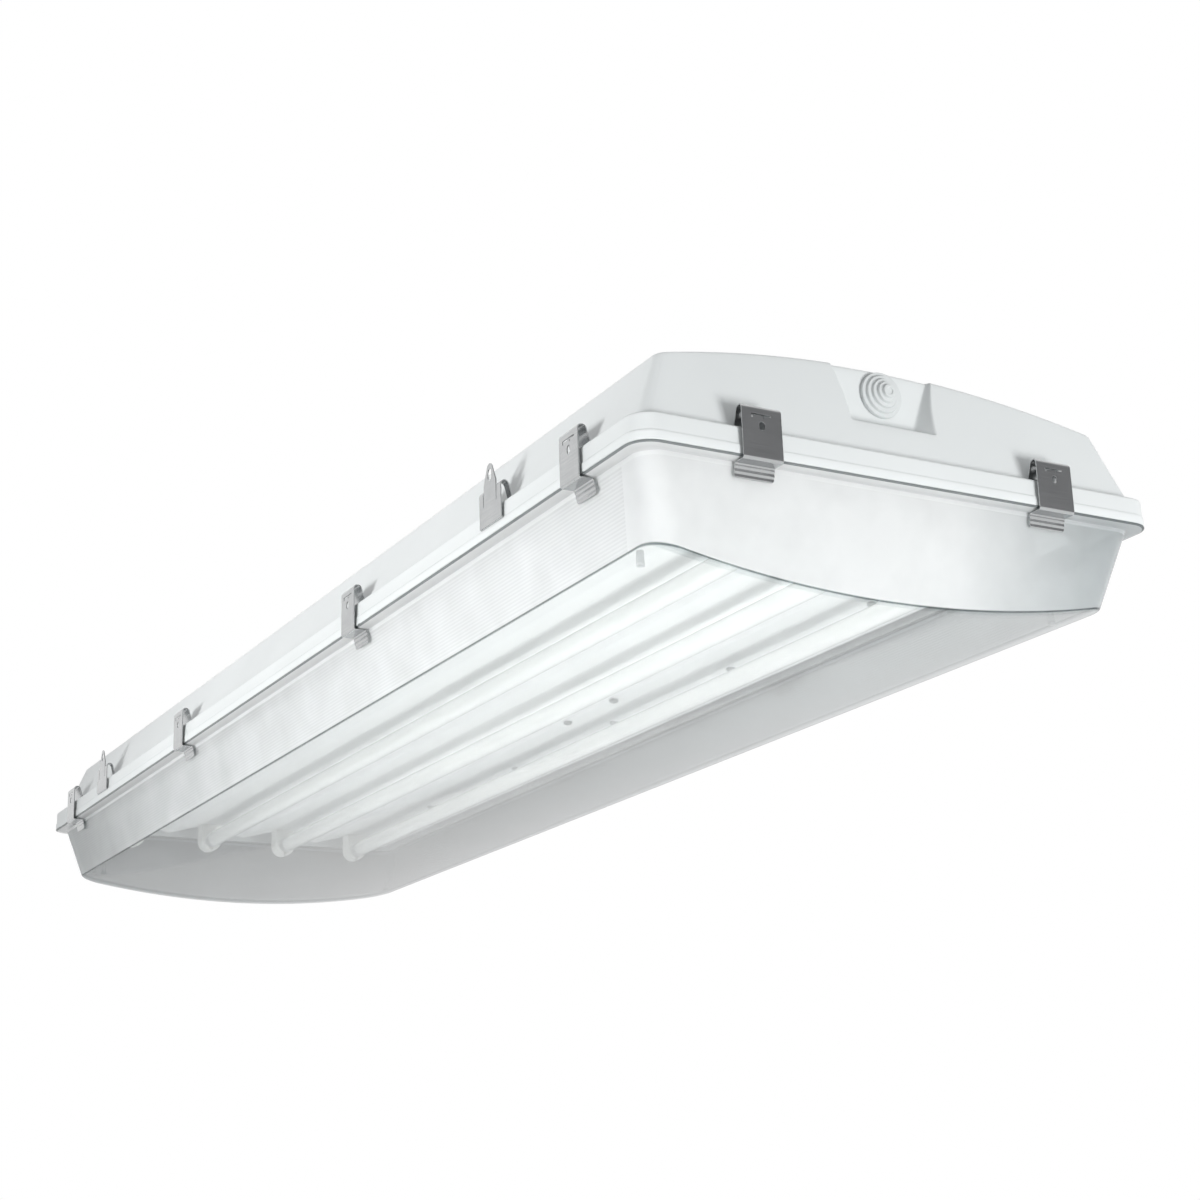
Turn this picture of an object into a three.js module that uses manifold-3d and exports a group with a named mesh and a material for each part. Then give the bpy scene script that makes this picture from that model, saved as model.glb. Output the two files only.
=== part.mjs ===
// Vapor tight light fixture: a long sealed ceiling light with four thin fluorescent lamps.
// Millimetres, +Z up, +X along the length towards the end with the cable entry that is used.
// The origin is the middle of the seam between the lens and the housing.

import * as THREE from "three";
import { ConvexGeometry } from "three/addons/geometries/ConvexGeometry.js";
import { mergeVertices } from "three/addons/utils/BufferGeometryUtils.js";
import Module from "manifold-3d";

const wasm = await Module();
wasm.setup();

// Clearances shared by all pieces
const seatGap = 0.3; // between two pieces that rest on or turn in each other
const overrun = 1; // how far a cutter passes the face that it opens
const weld = 0.5; // how far two lumps of one piece run into each other

// Lamps: standard thin tubes, 16 mm across, 1149 mm between their end faces
const lampLength = 1149;
const lampRadius = 8;
const lampPitch = 86;
const lampAxisDrop = 9; // axis below the seam
const capLength = 10;
const capEdge = 0.6;
const pinLength = 7.1;
const pinRadius = 1.2;
const pinOffset = 2.5; // from the lamp's axis
const lampCount = 4;

// Lampholders
const holderDepth = 15;
const holderRadius = 11;
const holderNeckWidth = 16;
const holderNeckDepth = 10;
const rotorRadius = 4.5;
const rotorDepth = 7.8;
const entrySlotWidth = 3;

// Reflector: bent sheet with a flat channel over each lamp and a ridge between lamps
const sheet = 0.8;
const channelRise = 8.5; // underside of a channel above the underside of a ridge
const channelFlat = 22.6;
const outerFlatExtra = 6.2; // more flat outboard of the outer lamps, for the screws
const reflectorEdgeRun = 25; // slope from the outer flat down to the edge
const reflectorLipRun = 1.4;
const reflectorLipRise = 3.2;
const reflectorPastHolders = 4;

// Rim of the housing
const rimEndRoom = 65.5; // from the lamp's end face to the rim
const rimSideRoom = 73.5; // from the outer lamp's axis to the rim
const rimCorner = 17;
const leastCorner = 0.5; // corner radius that a ring keeps however far inboard it lies
const beadTop = 8;
const beadStep = 0.6;
const ledgeHeight = 21;
const ledgeEdge = 2.5;
const rimWall = 3;
const channelWidth = 6.2;
const innerLeg = 3;
const innerLegLift = 1.6; // bottom of the inner leg above the lens flange

// Walls and crowned back of the housing
const footInsetEnd = 9.4;
const footInsetSide = 9.7;
const footFillet = 1.5;
const footCorner = 8;
const wallHeight = 46.2;
const wallLeanEnd = 10.9;
const wallLeanSide = 18.8;
const topCorner = 6;
const crownRise = 20.4;
const shellWall = 3;

// Lens
const flangeWidth = 10;
const flangeThickness = 1.5;
const flangeSwell = 0.2; // rounded edge, carried on under the latches' feet, passes this far below the flat
const tongueInset = 4.6;
const tongueWidth = 3;
const tongueRise = 6.2;
const lensWall = 2.5;
const lensDepth = 51.95;
const lensLeanEnd = 13.2;
const lensLeanSide = 12.8;
const lensTopCorner = 14;
const lensBottomCorner = 22;
const lensCrown = 18.5;
const postRadius = 2.5;
const postHeight = 8;
const postInsetEnd = 44.6; // from the lens's bottom edge
const postInsetSide = 16.25;

// Spring steel of the latches and hangers
const steel = 0.8;
const footAxisInset = 7;
const footAxisLift = 1; // foot's axis above the ledge
const footRadius = 1.1;
const topBendRadius = 3;
const topBendHeight = 31.1;

// Latches
const endLatchWidth = 29;
const sideLatchWidth = 24.5;
const latchStand = 2.2; // middle of the front plate outboard of the rim
const latchTopCorner = 2;
const rollRadius = 1.7;
const rollHeight = 0.5;
const hookRise = 0.2;
const hookInset = 6.6;
const tabBendRadius = 1.6;
const tabLean = Math.PI / 15; // tab's slant inboard, from upright
const tabDrop = 8.2; // from the tab's bend to the tab's end
const tabCorner = 2.2;
const latchSlotLength = 15;
const latchSlotWidth = 1.2;
const latchSlotHeight = 28;
const latchSlotLeg = 2.2;
const latchSlotLegWidth = 1.5;
const latchSlotLegShare = 0.12; // of the slot's length, from its middle to the inner leg
const latchHoleWidth = 4.2;
const latchHoleLength = 5.8;
const latchHoleHeight = 20.8;
const outerLatchInset = 80; // from the rim's end
const endLatchInset = 87.5; // from the rim's side
const innerLatchShare = 0.317; // of the rim's half length

// Hangers
const hangerWidth = 32;
const hangerStand = 1.6; // middle of the front plate outboard of the rim
const hangerStripWidth = 6;
const hangerBottom = 8;
const hangerLipRadius = 0.8;
const hangerSlitWidth = 1;
const hangerSlitBottom = 22;
const tongueBaseHeight = 36.8;
const tongueTipHeight = 50.8;
const tongueTipRadius = 4.2;
const tongueTaper = Math.PI / 12; // slant of the tongue's sides, from upright
const hangerHoleWidth = 5.2;
const hangerHoleLength = 8.4;
const hangerHoleHeight = 42.8;
const hangerInset = 192; // from the rim's end

// Cable entries: a pocket in each end wall with a stepped grommet in its face
const pocketInset = 28; // face of the pocket inboard of the rim's end
const pocketBottom = 46;
const pocketHeadroom = 3; // above the crown
const pocketFaceHalf = 23;
const pocketFaceTopHalf = 41.5;
const pocketMouthHalf = 46;
const pocketMouthTopHalf = 44;
const entryHeight = 72;
const entryHoleRadius = 11;
const grommetFlangeRadius = 16;
const grommetStepRadii = [13, 10, 7.2, 4.6];
const grommetFlangeThickness = 2.5;
const grommetStepLength = 2.1;
const grommetGripRadius = 12.4;
const grommetGripLength = 2;

// Screws and their bosses
const screwHeadRadius = 4;
const screwHeadHeight = 2.6;
const screwHeadRound = 0.8;
const screwRadius = 2;
const screwLength = 14;
const bossRadius = 4.5;
const bossHoleDepth = 18;
const reflectorScrewSpacing = 200;
const reflectorScrewCount = 5;
const reflectorScrewOffset = 13; // outboard of the outer lamp's axis

// Electrical gear above the reflector
const ballastLength = 400;
const ballastWidth = 42;
const ballastHeight = 28;
const ballastFoot = 12.5;
const ballastFootThickness = 1.2;
const ballastCentre = -120;
const blockLength = 104;
const blockWidth = 24;
const blockHeight = 19;
const blockCentre = 57;
const blockScrewSpacing = 84;
const loomRadius = 3;
const loomPastHolders = 11;

// Facet counts
const cornerSteps = 6;
const crownSteps = 24;
const roundSides = 16;
const smallSides = 10;
const bendSteps = 5;
const edgeSteps = 3;
const grommetSides = 20;

// Sizes that follow from those above
const lampHalf = lampLength / 2;
const rimHalfLength = lampHalf + rimEndRoom;
const outerLampY = (lampPitch * (lampCount - 1)) / 2;
const rimHalfWidth = outerLampY + rimSideRoom;
const rimBottom = flangeThickness + seatGap;
const channelRoof = ledgeHeight - rimWall;
const rimDepth = rimWall + channelWidth + innerLeg; // rim's outer face to the inner leg's inner face
const wallFoot = ledgeHeight + footFillet;
const wallTop = wallFoot + wallHeight;
const channelTop = channelRise + sheet; // upper face of the reflector's channels
const footAxisHeight = ledgeHeight + footAxisLift;
const lampYs = Array.from({ length: lampCount }, (_, i) => i * lampPitch - outerLampY);
const pocketFace = rimHalfLength - pocketInset;
const reflectorHalf = lampHalf + seatGap + holderDepth + reflectorPastHolders;

// Materials
function material(color, roughness, metalness) {
  return new THREE.MeshStandardMaterial({ color, roughness, metalness });
}
const housingGrey = () => material(0xdadede, 0.5, 0);
const clearPlastic = () => material(0xe8eeee, 0.12, 0);
const sealRubber = () => material(0x55585a, 0.8, 0);
const stainless = () => material(0xb4b6b6, 0.35, 1);
const whiteSheet = () => material(0xf2f2f0, 0.45, 0);
const whitePlastic = () => material(0xeeeeea, 0.4, 0);
const lampGlass = () => material(0xfafaf8, 0.3, 0);
const capMetal = () => material(0xc4c6c8, 0.35, 1);
const screwSteel = () => material(0xb8bab9, 0.4, 1);
const gearSteel = () => material(0xe4e4e0, 0.5, 0);
const blockPlastic = () => material(0xd8d6cc, 0.55, 0);
const wireJacket = () => material(0xd0d0cc, 0.6, 0);
const grommetRubber = () => material(0xc6caca, 0.7, 0);

// Closed geometry to solid and back
function toSolid(geometry) {
  const bare = geometry.clone();
  bare.deleteAttribute("normal");
  bare.deleteAttribute("uv");
  const merged = mergeVertices(bare);
  const vertProperties = new Float32Array(merged.attributes.position.array);
  const triVerts = new Uint32Array(merged.index.array);
  return new wasm.Manifold(new wasm.Mesh({ numProp: 3, vertProperties, triVerts }));
}

function toGeometry(solid) {
  const { vertProperties, triVerts } = solid.getMesh();
  const geometry = new THREE.BufferGeometry();
  geometry.setAttribute("position", new THREE.BufferAttribute(vertProperties, 3));
  geometry.setIndex(new THREE.BufferAttribute(triVerts, 1));
  geometry.computeVertexNormals();
  return geometry;
}

function join(solids) {
  return solids.reduce((whole, solid) => whole.add(solid));
}

function cut(solid, cutters) {
  return cutters.reduce((whole, cutter) => whole.subtract(cutter), solid);
}

// Outline of a rounded rectangle at one height, anticlockwise from above
function planRing(halfX, halfY, radius, z) {
  const points = [];
  const round = Math.max(radius, leastCorner);
  for (let corner = 0; corner < 4; corner++) {
    const centreX = (corner === 0 || corner === 3 ? 1 : -1) * (halfX - round);
    const centreY = (corner < 2 ? 1 : -1) * (halfY - round);
    for (let step = 0; step <= cornerSteps; step++) {
      const angle = ((corner + step / cornerSteps) * Math.PI) / 2;
      const x = centreX + round * Math.cos(angle);
      points.push(new THREE.Vector3(x, centreY + round * Math.sin(angle), z));
    }
  }
  return points;
}

// Skin over rings that are listed from the bottom up, capped at both ends or, where closed, joined round
function skin(rings, closed) {
  const count = rings[0].length;
  const index = [];
  for (let k = 0; k < rings.length - (closed ? 0 : 1); k++) {
    const low = k * count;
    const high = ((k + 1) % rings.length) * count;
    for (let i = 0; i < count; i++) {
      const j = (i + 1) % count;
      index.push(low + i, low + j, high + j, low + i, high + j, high + i);
    }
  }
  const top = (rings.length - 1) * count;
  for (let i = 1; !closed && i < count - 1; i++) {
    index.push(0, i + 1, i, top, top + i, top + i + 1);
  }
  const geometry = new THREE.BufferGeometry().setFromPoints(rings.flat());
  geometry.setIndex(index);
  return toSolid(geometry);
}

// The rim's outline, moved inboard by an inset
function rimRing(inset, z) {
  return planRing(rimHalfLength - inset, rimHalfWidth - inset, rimCorner - inset, z);
}

// A section [inset, z] carried round the rim's outline, listed up its outer side and down its inner side
function rimSweep(section) {
  return skin(section.map(([inset, z]) => rimRing(inset, z)), true);
}

function arc(x, y, radius, from, to, steps = bendSteps) {
  return Array.from({ length: steps + 1 }, (_, i) => {
    const angle = from + ((to - from) * i) / steps;
    return new THREE.Vector2(x + radius * Math.cos(angle), y + radius * Math.sin(angle));
  });
}

// Outline of a bent strip of even thickness along a path
function stripShape(path, thickness) {
  const sides = path.map((point, i) => {
    const into = point.clone().sub(path[Math.max(i - 1, 0)]).normalize();
    const out = path[Math.min(i + 1, path.length - 1)].clone().sub(point).normalize();
    const along = into.clone().add(out).normalize();
    const reach = thickness / 2 / along.dot(i ? into : out);
    const offset = new THREE.Vector2(-along.y, along.x).multiplyScalar(reach);
    return [point.clone().add(offset), point.clone().sub(offset)];
  });
  const left = sides.map(([point]) => point);
  const right = sides.map(([, point]) => point);
  return new THREE.Shape([...right, ...left.reverse()]);
}

// A shape drawn across one axis and extruded evenly both ways along it
const across = {
  // drawn in Y and Z, extruded along X
  x: [new THREE.Vector3(0, 1, 0), new THREE.Vector3(0, 0, 1), new THREE.Vector3(1, 0, 0)],
  // drawn in X and Z, extruded along Y
  y: [new THREE.Vector3(1, 0, 0), new THREE.Vector3(0, 0, 1), new THREE.Vector3(0, -1, 0)],
};
function extrude(shape, width, axis) {
  const geometry = new THREE.ExtrudeGeometry(shape, { depth: width, bevelEnabled: false });
  geometry.translate(0, 0, -width / 2);
  geometry.applyMatrix4(new THREE.Matrix4().makeBasis(...across[axis]));
  return toSolid(geometry);
}

function box(sizeX, sizeY, sizeZ, x, y, z) {
  return toSolid(new THREE.BoxGeometry(sizeX, sizeY, sizeZ).translate(x, y, z));
}

// Cylinders between two coordinates on the axis that they lie along
function uprightRod(radius, from, to, x, y, sides = smallSides) {
  const rod = new THREE.CylinderGeometry(radius, radius, to - from, sides);
  return toSolid(rod.rotateX(Math.PI / 2).translate(x, y, (from + to) / 2));
}
function lengthRod(radius, from, to, y, z, sides = smallSides) {
  const rod = new THREE.CylinderGeometry(radius, radius, to - from, sides);
  return toSolid(rod.rotateZ(Math.PI / 2).translate((from + to) / 2, y, z));
}
function crossRod(radius, from, to, x, z, sides = smallSides) {
  const rod = new THREE.CylinderGeometry(radius, radius, to - from, sides);
  return toSolid(rod.translate(x, (from + to) / 2, z));
}

// Long round-ended hole, standing upright, drawn for extrusion
function ovalShape(width, length, x, z) {
  const reach = (length - width) / 2;
  const top = arc(x, z + reach, width / 2, 0, Math.PI);
  const bottom = arc(x, z - reach, width / 2, Math.PI, 2 * Math.PI);
  return new THREE.Shape([...top, ...bottom]);
}

// Solid under an arc across Y: chord at one height, rise above it, offset outwards from the arc
function crownSolid(halfChord, chordZ, rise, offset, far) {
  const radius = (halfChord ** 2 + rise ** 2) / (2 * Math.abs(rise));
  const up = Math.sign(rise);
  const centre = chordZ + rise - up * radius;
  const reach = radius + offset;
  const half = Math.asin(rimHalfWidth / reach);
  const curve = arc(0, centre, reach, Math.PI / 2 - half, Math.PI / 2 + half, crownSteps);
  const line = curve.map((point) => new THREE.Vector2(point.x, centre + up * (point.y - centre)));
  const ends = [new THREE.Vector2(-rimHalfWidth, far), new THREE.Vector2(rimHalfWidth, far)];
  return extrude(new THREE.Shape([...line, ...ends]), 2 * rimHalfLength + overrun, "x");
}

// Housing

// Walls of the housing, moved inwards by an offset, from one height up past the crown
function wallRings(offset, from) {
  const past = wallTop + crownRise + overrun;
  return [from, past].map((z) => {
    const share = (z - wallFoot) / wallHeight;
    return planRing(
      rimHalfLength - footInsetEnd - share * wallLeanEnd - offset,
      rimHalfWidth - footInsetSide - share * wallLeanSide - offset,
      footCorner + share * (topCorner - footCorner) - offset,
      z,
    );
  });
}

// Cable entry pocket at the +X end, grown by a margin on its closed sides
function pocketHull(margin) {
  const top = wallTop + crownRise + pocketHeadroom;
  const bottom = pocketBottom - margin;
  const face = pocketFace - margin;
  const mouth = rimHalfLength;
  const corners = [
    [face, pocketFaceHalf + margin, bottom],
    [face, pocketFaceTopHalf + margin, top],
    [mouth, pocketMouthHalf + margin, bottom],
    [mouth, pocketMouthTopHalf + margin, top],
  ];
  const points = corners.flatMap(([x, y, z]) => [
    new THREE.Vector3(x, y, z),
    new THREE.Vector3(x, -y, z),
  ]);
  return toSolid(new ConvexGeometry(points));
}

function bothEnds(solid) {
  return solid.add(solid.rotate([0, 0, 180]));
}

const reflectorScrewXs = Array.from(
  { length: reflectorScrewCount },
  (_, i) => (i - (reflectorScrewCount - 1) / 2) * reflectorScrewSpacing,
);
const reflectorScrewY = outerLampY + reflectorScrewOffset;

// Places round the rim: where a piece stands, the way that its front faces and, for a latch, its width
const east = 0;
const north = Math.PI / 2;
const west = Math.PI;
const south = -Math.PI / 2;
const outerLatchX = rimHalfLength - outerLatchInset;
const innerLatchX = rimHalfLength * innerLatchShare;
const endLatchY = rimHalfWidth - endLatchInset;
const hangerX = rimHalfLength - hangerInset;
const sideLatchXs = [-outerLatchX, -innerLatchX, innerLatchX, outerLatchX];
const latchPlaces = [
  ...sideLatchXs.map((x, i) => ["latch_side_a" + (i + 1), x, -rimHalfWidth, south, sideLatchWidth]),
  ...sideLatchXs.map((x, i) => ["latch_side_b" + (i + 1), x, rimHalfWidth, north, sideLatchWidth]),
  ["latch_near_end_1", rimHalfLength, -endLatchY, east, endLatchWidth],
  ["latch_near_end_2", rimHalfLength, endLatchY, east, endLatchWidth],
  ["latch_far_end_1", -rimHalfLength, -endLatchY, west, endLatchWidth],
  ["latch_far_end_2", -rimHalfLength, endLatchY, west, endLatchWidth],
];
const hangerPlaces = [
  ["hanger_a_far", -hangerX, -rimHalfWidth, south],
  ["hanger_a_near", hangerX, -rimHalfWidth, south],
  ["hanger_b_far", -hangerX, rimHalfWidth, north],
  ["hanger_b_near", hangerX, rimHalfWidth, north],
];

// Round groove in the ledge for a foot of one width
function footGroove([, x, y, turn], width, shift = 0) {
  const half = width / 2 + seatGap;
  const rod = crossRod(footRadius + seatGap, -half, half, -footAxisInset, footAxisHeight);
  return rod.translate([0, shift, 0]).rotate([0, 0, (turn * 180) / Math.PI]).translate([x, y, 0]);
}

function housingSolid() {
  const skirt = beadStep;
  const edgeX = skirt + ledgeEdge;
  const edge = arc(edgeX, ledgeHeight - ledgeEdge, ledgeEdge, Math.PI, Math.PI / 2, edgeSteps);
  const rim = skin([
    rimRing(0, rimBottom),
    rimRing(0, beadTop),
    rimRing(skirt, beadTop),
    ...edge.map((point) => rimRing(point.x, point.y)),
  ]);
  const foot = planRing(
    rimHalfLength - footInsetEnd + footFillet,
    rimHalfWidth - footInsetSide + footFillet,
    footCorner + footFillet,
    ledgeHeight - weld,
  );
  const walls = skin([foot, ...wallRings(0, wallFoot)]);
  const topHalf = rimHalfWidth - footInsetSide - wallLeanSide;
  const roof = crownSolid(topHalf, wallTop, crownRise, 0, -overrun);
  const outer = rim.add(walls.intersect(roof));

  const below = rimBottom - overrun;
  const mouth = [rimRing(rimDepth, below), rimRing(rimDepth, channelRoof)];
  const cavity = skin([...mouth, ...wallRings(shellWall, wallFoot)]);
  const ceiling = crownSolid(topHalf, wallTop, crownRise, -shellWall, -overrun);
  const hollow = cavity.intersect(ceiling).subtract(bothEnds(pocketHull(shellWall)));

  const channel = rimSweep([
    [rimWall, below],
    [rimWall, channelRoof],
    [rimWall + channelWidth, channelRoof],
    [rimWall + channelWidth, flangeThickness + innerLegLift],
    [rimDepth + overrun, flangeThickness + innerLegLift],
    [rimDepth + overrun, below],
  ]);
  const shell = cut(outer, [hollow, channel, bothEnds(pocketHull(0))]);

  const bossBottom = channelTop + seatGap;
  const bosses = [];
  const cutters = [];
  for (const x of reflectorScrewXs) {
    for (const y of [-reflectorScrewY, reflectorScrewY]) {
      bosses.push(uprightRod(bossRadius, bossBottom, wallTop + crownRise, x, y));
      cutters.push(uprightRod(screwRadius + seatGap, 0, bossBottom + bossHoleDepth, x, y));
    }
  }
  const bossesInside = join(bosses).intersect(roof);

  latchPlaces.forEach((place) => cutters.push(footGroove(place, place[place.length - 1])));
  const stripShift = (hangerWidth - hangerStripWidth) / 2;
  for (const place of hangerPlaces) {
    cutters.push(footGroove(place, hangerStripWidth, stripShift));
    cutters.push(footGroove(place, hangerStripWidth, -stripShift));
  }
  const inside = pocketFace - shellWall - overrun;
  const outside = pocketFace + overrun;
  const entryRadius = entryHoleRadius + seatGap;
  cutters.push(bothEnds(lengthRod(entryRadius, inside, outside, 0, entryHeight, grommetSides)));
  return cut(shell.add(bossesInside), cutters);
}

// Gasket in the channel of the rim
function gasketSolid() {
  const outer = rimWall + seatGap;
  const inner = rimWall + channelWidth - seatGap;
  const low = flangeThickness + tongueRise + seatGap;
  const high = channelRoof - seatGap;
  return rimSweep([
    [outer, low],
    [outer, high],
    [inner, high],
    [inner, low],
  ]);
}

// Lens: a deep tub whose flange is rounded up at its edge for the latches' swing and bears a tongue
function lensSolid() {
  const tubRings = (offset, from) => {
    const past = -lensDepth - lensCrown - overrun;
    return [past, from].map((z) => {
      const share = -z / lensDepth;
      return planRing(
        rimHalfLength - flangeWidth - share * lensLeanEnd - offset,
        rimHalfWidth - flangeWidth - share * lensLeanSide - offset,
        lensTopCorner + share * (lensBottomCorner - lensTopCorner) - offset,
        z,
      );
    });
  };
  const bottomHalf = rimHalfWidth - flangeWidth - lensLeanSide;
  const above = flangeThickness + overrun;
  const bowl = (offset) => crownSolid(bottomHalf, -lensDepth, -lensCrown, offset, above);
  const outer = skin(tubRings(0, flangeThickness)).intersect(bowl(0));
  const inner = skin(tubRings(lensWall, above)).intersect(bowl(-lensWall));

  const swing = footAxisHeight + flangeSwell;
  const from = -Math.PI / 2 - Math.acos(footAxisHeight / swing);
  const to = -Math.PI / 2 - Math.asin(footAxisInset / swing);
  const under = arc(footAxisInset, footAxisHeight, swing, from, to).map(({ x, y }) => rimRing(x, y));
  const flange = skin([...under, rimRing(0, flangeThickness)]);
  const tongue = rimSweep([
    [tongueInset, flangeThickness - weld],
    [tongueInset, flangeThickness + tongueRise],
    [tongueInset + tongueWidth, flangeThickness + tongueRise],
    [tongueInset + tongueWidth, flangeThickness - weld],
  ]);

  const posts = [];
  const postX = rimHalfLength - flangeWidth - lensLeanEnd - postInsetEnd;
  const postY = bottomHalf - postInsetSide;
  for (const x of [-postX, postX]) {
    for (const y of [-postY, postY]) {
      posts.push(uprightRod(postRadius, -lensDepth - lensWall, -lensDepth + postHeight, x, y));
    }
  }
  return join([outer.add(flange).subtract(inner), tongue, join(posts).intersect(outer)]);
}

// Reflector
function reflectorSolid() {
  const low = sheet / 2;
  const high = channelRise + sheet / 2;
  const half = channelFlat / 2;
  const edge = outerLampY + half + outerFlatExtra;
  const side = [];
  for (const y of lampYs.filter((lampY) => lampY > 0)) {
    const outermost = y === outerLampY;
    side.push(new THREE.Vector2(y - half, high));
    side.push(new THREE.Vector2(outermost ? edge : y + half, high));
    if (!outermost) side.push(new THREE.Vector2(y + lampPitch / 2, low));
  }
  side.push(new THREE.Vector2(edge + reflectorEdgeRun, low));
  side.push(new THREE.Vector2(edge + reflectorEdgeRun + reflectorLipRun, low + reflectorLipRise));
  const mirrored = side.map((point) => new THREE.Vector2(-point.x, point.y)).reverse();
  const path = [...mirrored, new THREE.Vector2(0, low), ...side];
  const pan = extrude(stripShape(path, sheet), 2 * reflectorHalf, "x");

  const holeRadius = screwRadius + seatGap;
  const cutters = [];
  for (const x of reflectorScrewXs) {
    for (const y of [-reflectorScrewY, reflectorScrewY]) {
      cutters.push(uprightRod(holeRadius, channelRise - overrun, channelTop + overrun, x, y));
    }
  }
  for (const x of blockScrewXs) {
    cutters.push(uprightRod(holeRadius, -overrun, sheet + overrun, x, blockY));
  }
  const neckX = lampHalf + seatGap + holderDepth / 2;
  const slotX = holderNeckDepth + 2 * seatGap;
  const slotY = holderNeckWidth + 2 * seatGap;
  for (const x of [-neckX, neckX]) {
    for (const y of lampYs) {
      cutters.push(box(slotX, slotY, sheet + 2 * overrun, x, y, high));
    }
  }
  return cut(pan, cutters);
}

// Lamp pieces, drawn about the lamp's axis
function tubeGeometry() {
  const length = lampLength - 2 * (capLength + seatGap);
  return new THREE.CylinderGeometry(lampRadius, lampRadius, length, roundSides).rotateZ(Math.PI / 2);
}

// Cap with its two pins: inner face at x = 0, pins towards +X
function capSolid() {
  const section = [
    new THREE.Vector2(0, 0),
    new THREE.Vector2(lampRadius, 0),
    new THREE.Vector2(lampRadius, capLength - capEdge),
    new THREE.Vector2(lampRadius - capEdge, capLength),
    new THREE.Vector2(0, capLength),
  ];
  const cap = toSolid(new THREE.LatheGeometry(section, roundSides).rotateZ(-Math.PI / 2));
  const pin = (y) => lengthRod(pinRadius, capLength - weld, capLength + pinLength, y, 0);
  return cap.add(pin(-pinOffset)).add(pin(pinOffset));
}

// Lampholder: front face at x = 0, body towards +X, lamp's axis at z = 0
function holderSolid() {
  const shoulder = channelRise + lampAxisDrop - seatGap;
  const round = arc(0, 0, holderRadius, Math.PI, 2 * Math.PI, smallSides);
  const top = [new THREE.Vector2(holderRadius, shoulder), new THREE.Vector2(-holderRadius, shoulder)];
  const outline = new THREE.Shape([...round, ...top]);
  const body = extrude(outline, holderDepth, "x").translate([holderDepth / 2, 0, 0]);
  const neckTop = channelTop + lampAxisDrop;
  const neckHeight = neckTop - shoulder + weld;
  const neckMiddle = neckTop - neckHeight / 2;
  const neck = box(holderNeckDepth, holderNeckWidth, neckHeight, holderDepth / 2, 0, neckMiddle);
  const rotor = lengthRod(rotorRadius, -overrun, rotorDepth, 0, 0, roundSides);
  const slotDrop = holderRadius + overrun;
  const slotDepth = rotorDepth + overrun;
  const slot = box(slotDepth, entrySlotWidth, slotDrop, slotDepth / 2 - overrun, 0, -slotDrop / 2);
  return cut(body.add(neck), [rotor, slot]);
}

// Back leg and top bend that latches and hangers share, from the foot to the head of the front plate
function legPath(stand) {
  const foot = new THREE.Vector2(-footAxisInset, footAxisHeight);
  const bend = new THREE.Vector2(stand - topBendRadius, topBendHeight);
  const line = bend.clone().sub(foot);
  const lean = Math.atan2(line.y, line.x) + Math.asin(topBendRadius / line.length());
  return [foot, ...arc(bend.x, bend.y, topBendRadius, lean + Math.PI / 2, 0)];
}

// Latch, drawn facing +X: x = 0 is the rim's outer face, y = 0 the latch's middle
function latchSolid(width) {
  const rollX = latchStand - rollRadius;
  const roll = arc(rollX, rollHeight, rollRadius, 0, -Math.PI / 2);
  const bendTop = rollHeight - rollRadius + hookRise;
  const tabTurn = Math.PI - tabLean;
  const bend = arc(-hookInset, bendTop - tabBendRadius, tabBendRadius, Math.PI / 2, tabTurn);
  const last = bend[bend.length - 1];
  const lean = tabTurn + Math.PI / 2;
  const tabEnd = new THREE.Vector2(last.x + tabDrop * Math.cos(lean), last.y + tabDrop * Math.sin(lean));
  const path = [...legPath(latchStand), ...roll, ...bend, tabEnd];
  const strip = extrude(stripShape(path, steel), width, "y");

  const top = topBendHeight + topBendRadius + steel;
  const bottom = tabEnd.y;
  const half = width / 2;
  const rightSide = [
    ...arc(half - tabCorner, bottom + tabCorner, tabCorner, -Math.PI / 2, 0),
    ...arc(half - latchTopCorner, top - latchTopCorner, latchTopCorner, 0, Math.PI / 2, edgeSteps),
  ];
  const leftSide = rightSide.map((point) => new THREE.Vector2(-point.x, point.y)).reverse();
  const depth = 2 * (hookInset + tabBendRadius + tabDrop + latchStand + steel);
  const frame = extrude(new THREE.Shape([...rightSide, ...leftSide]), depth, "x");
  const foot = crossRod(footRadius, -half, half, -footAxisInset, footAxisHeight);

  const cutDepth = steel + 2 * overrun;
  const slotZ = latchSlotHeight;
  const slot = box(cutDepth, latchSlotLength, latchSlotWidth, latchStand, 0, slotZ);
  const legY = [(latchSlotLegWidth - latchSlotLength) / 2, latchSlotLegShare * latchSlotLength];
  const legZ = slotZ - latchSlotLeg / 2;
  const legs = legY.map((y) => box(cutDepth, latchSlotLegWidth, latchSlotLeg, latchStand, y, legZ));
  const oval = ovalShape(latchHoleWidth, latchHoleLength, 0, latchHoleHeight);
  const hole = extrude(oval, cutDepth, "x").translate([latchStand, 0, 0]);
  return cut(strip.intersect(frame).add(foot), [slot, ...legs, hole]);
}

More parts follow.
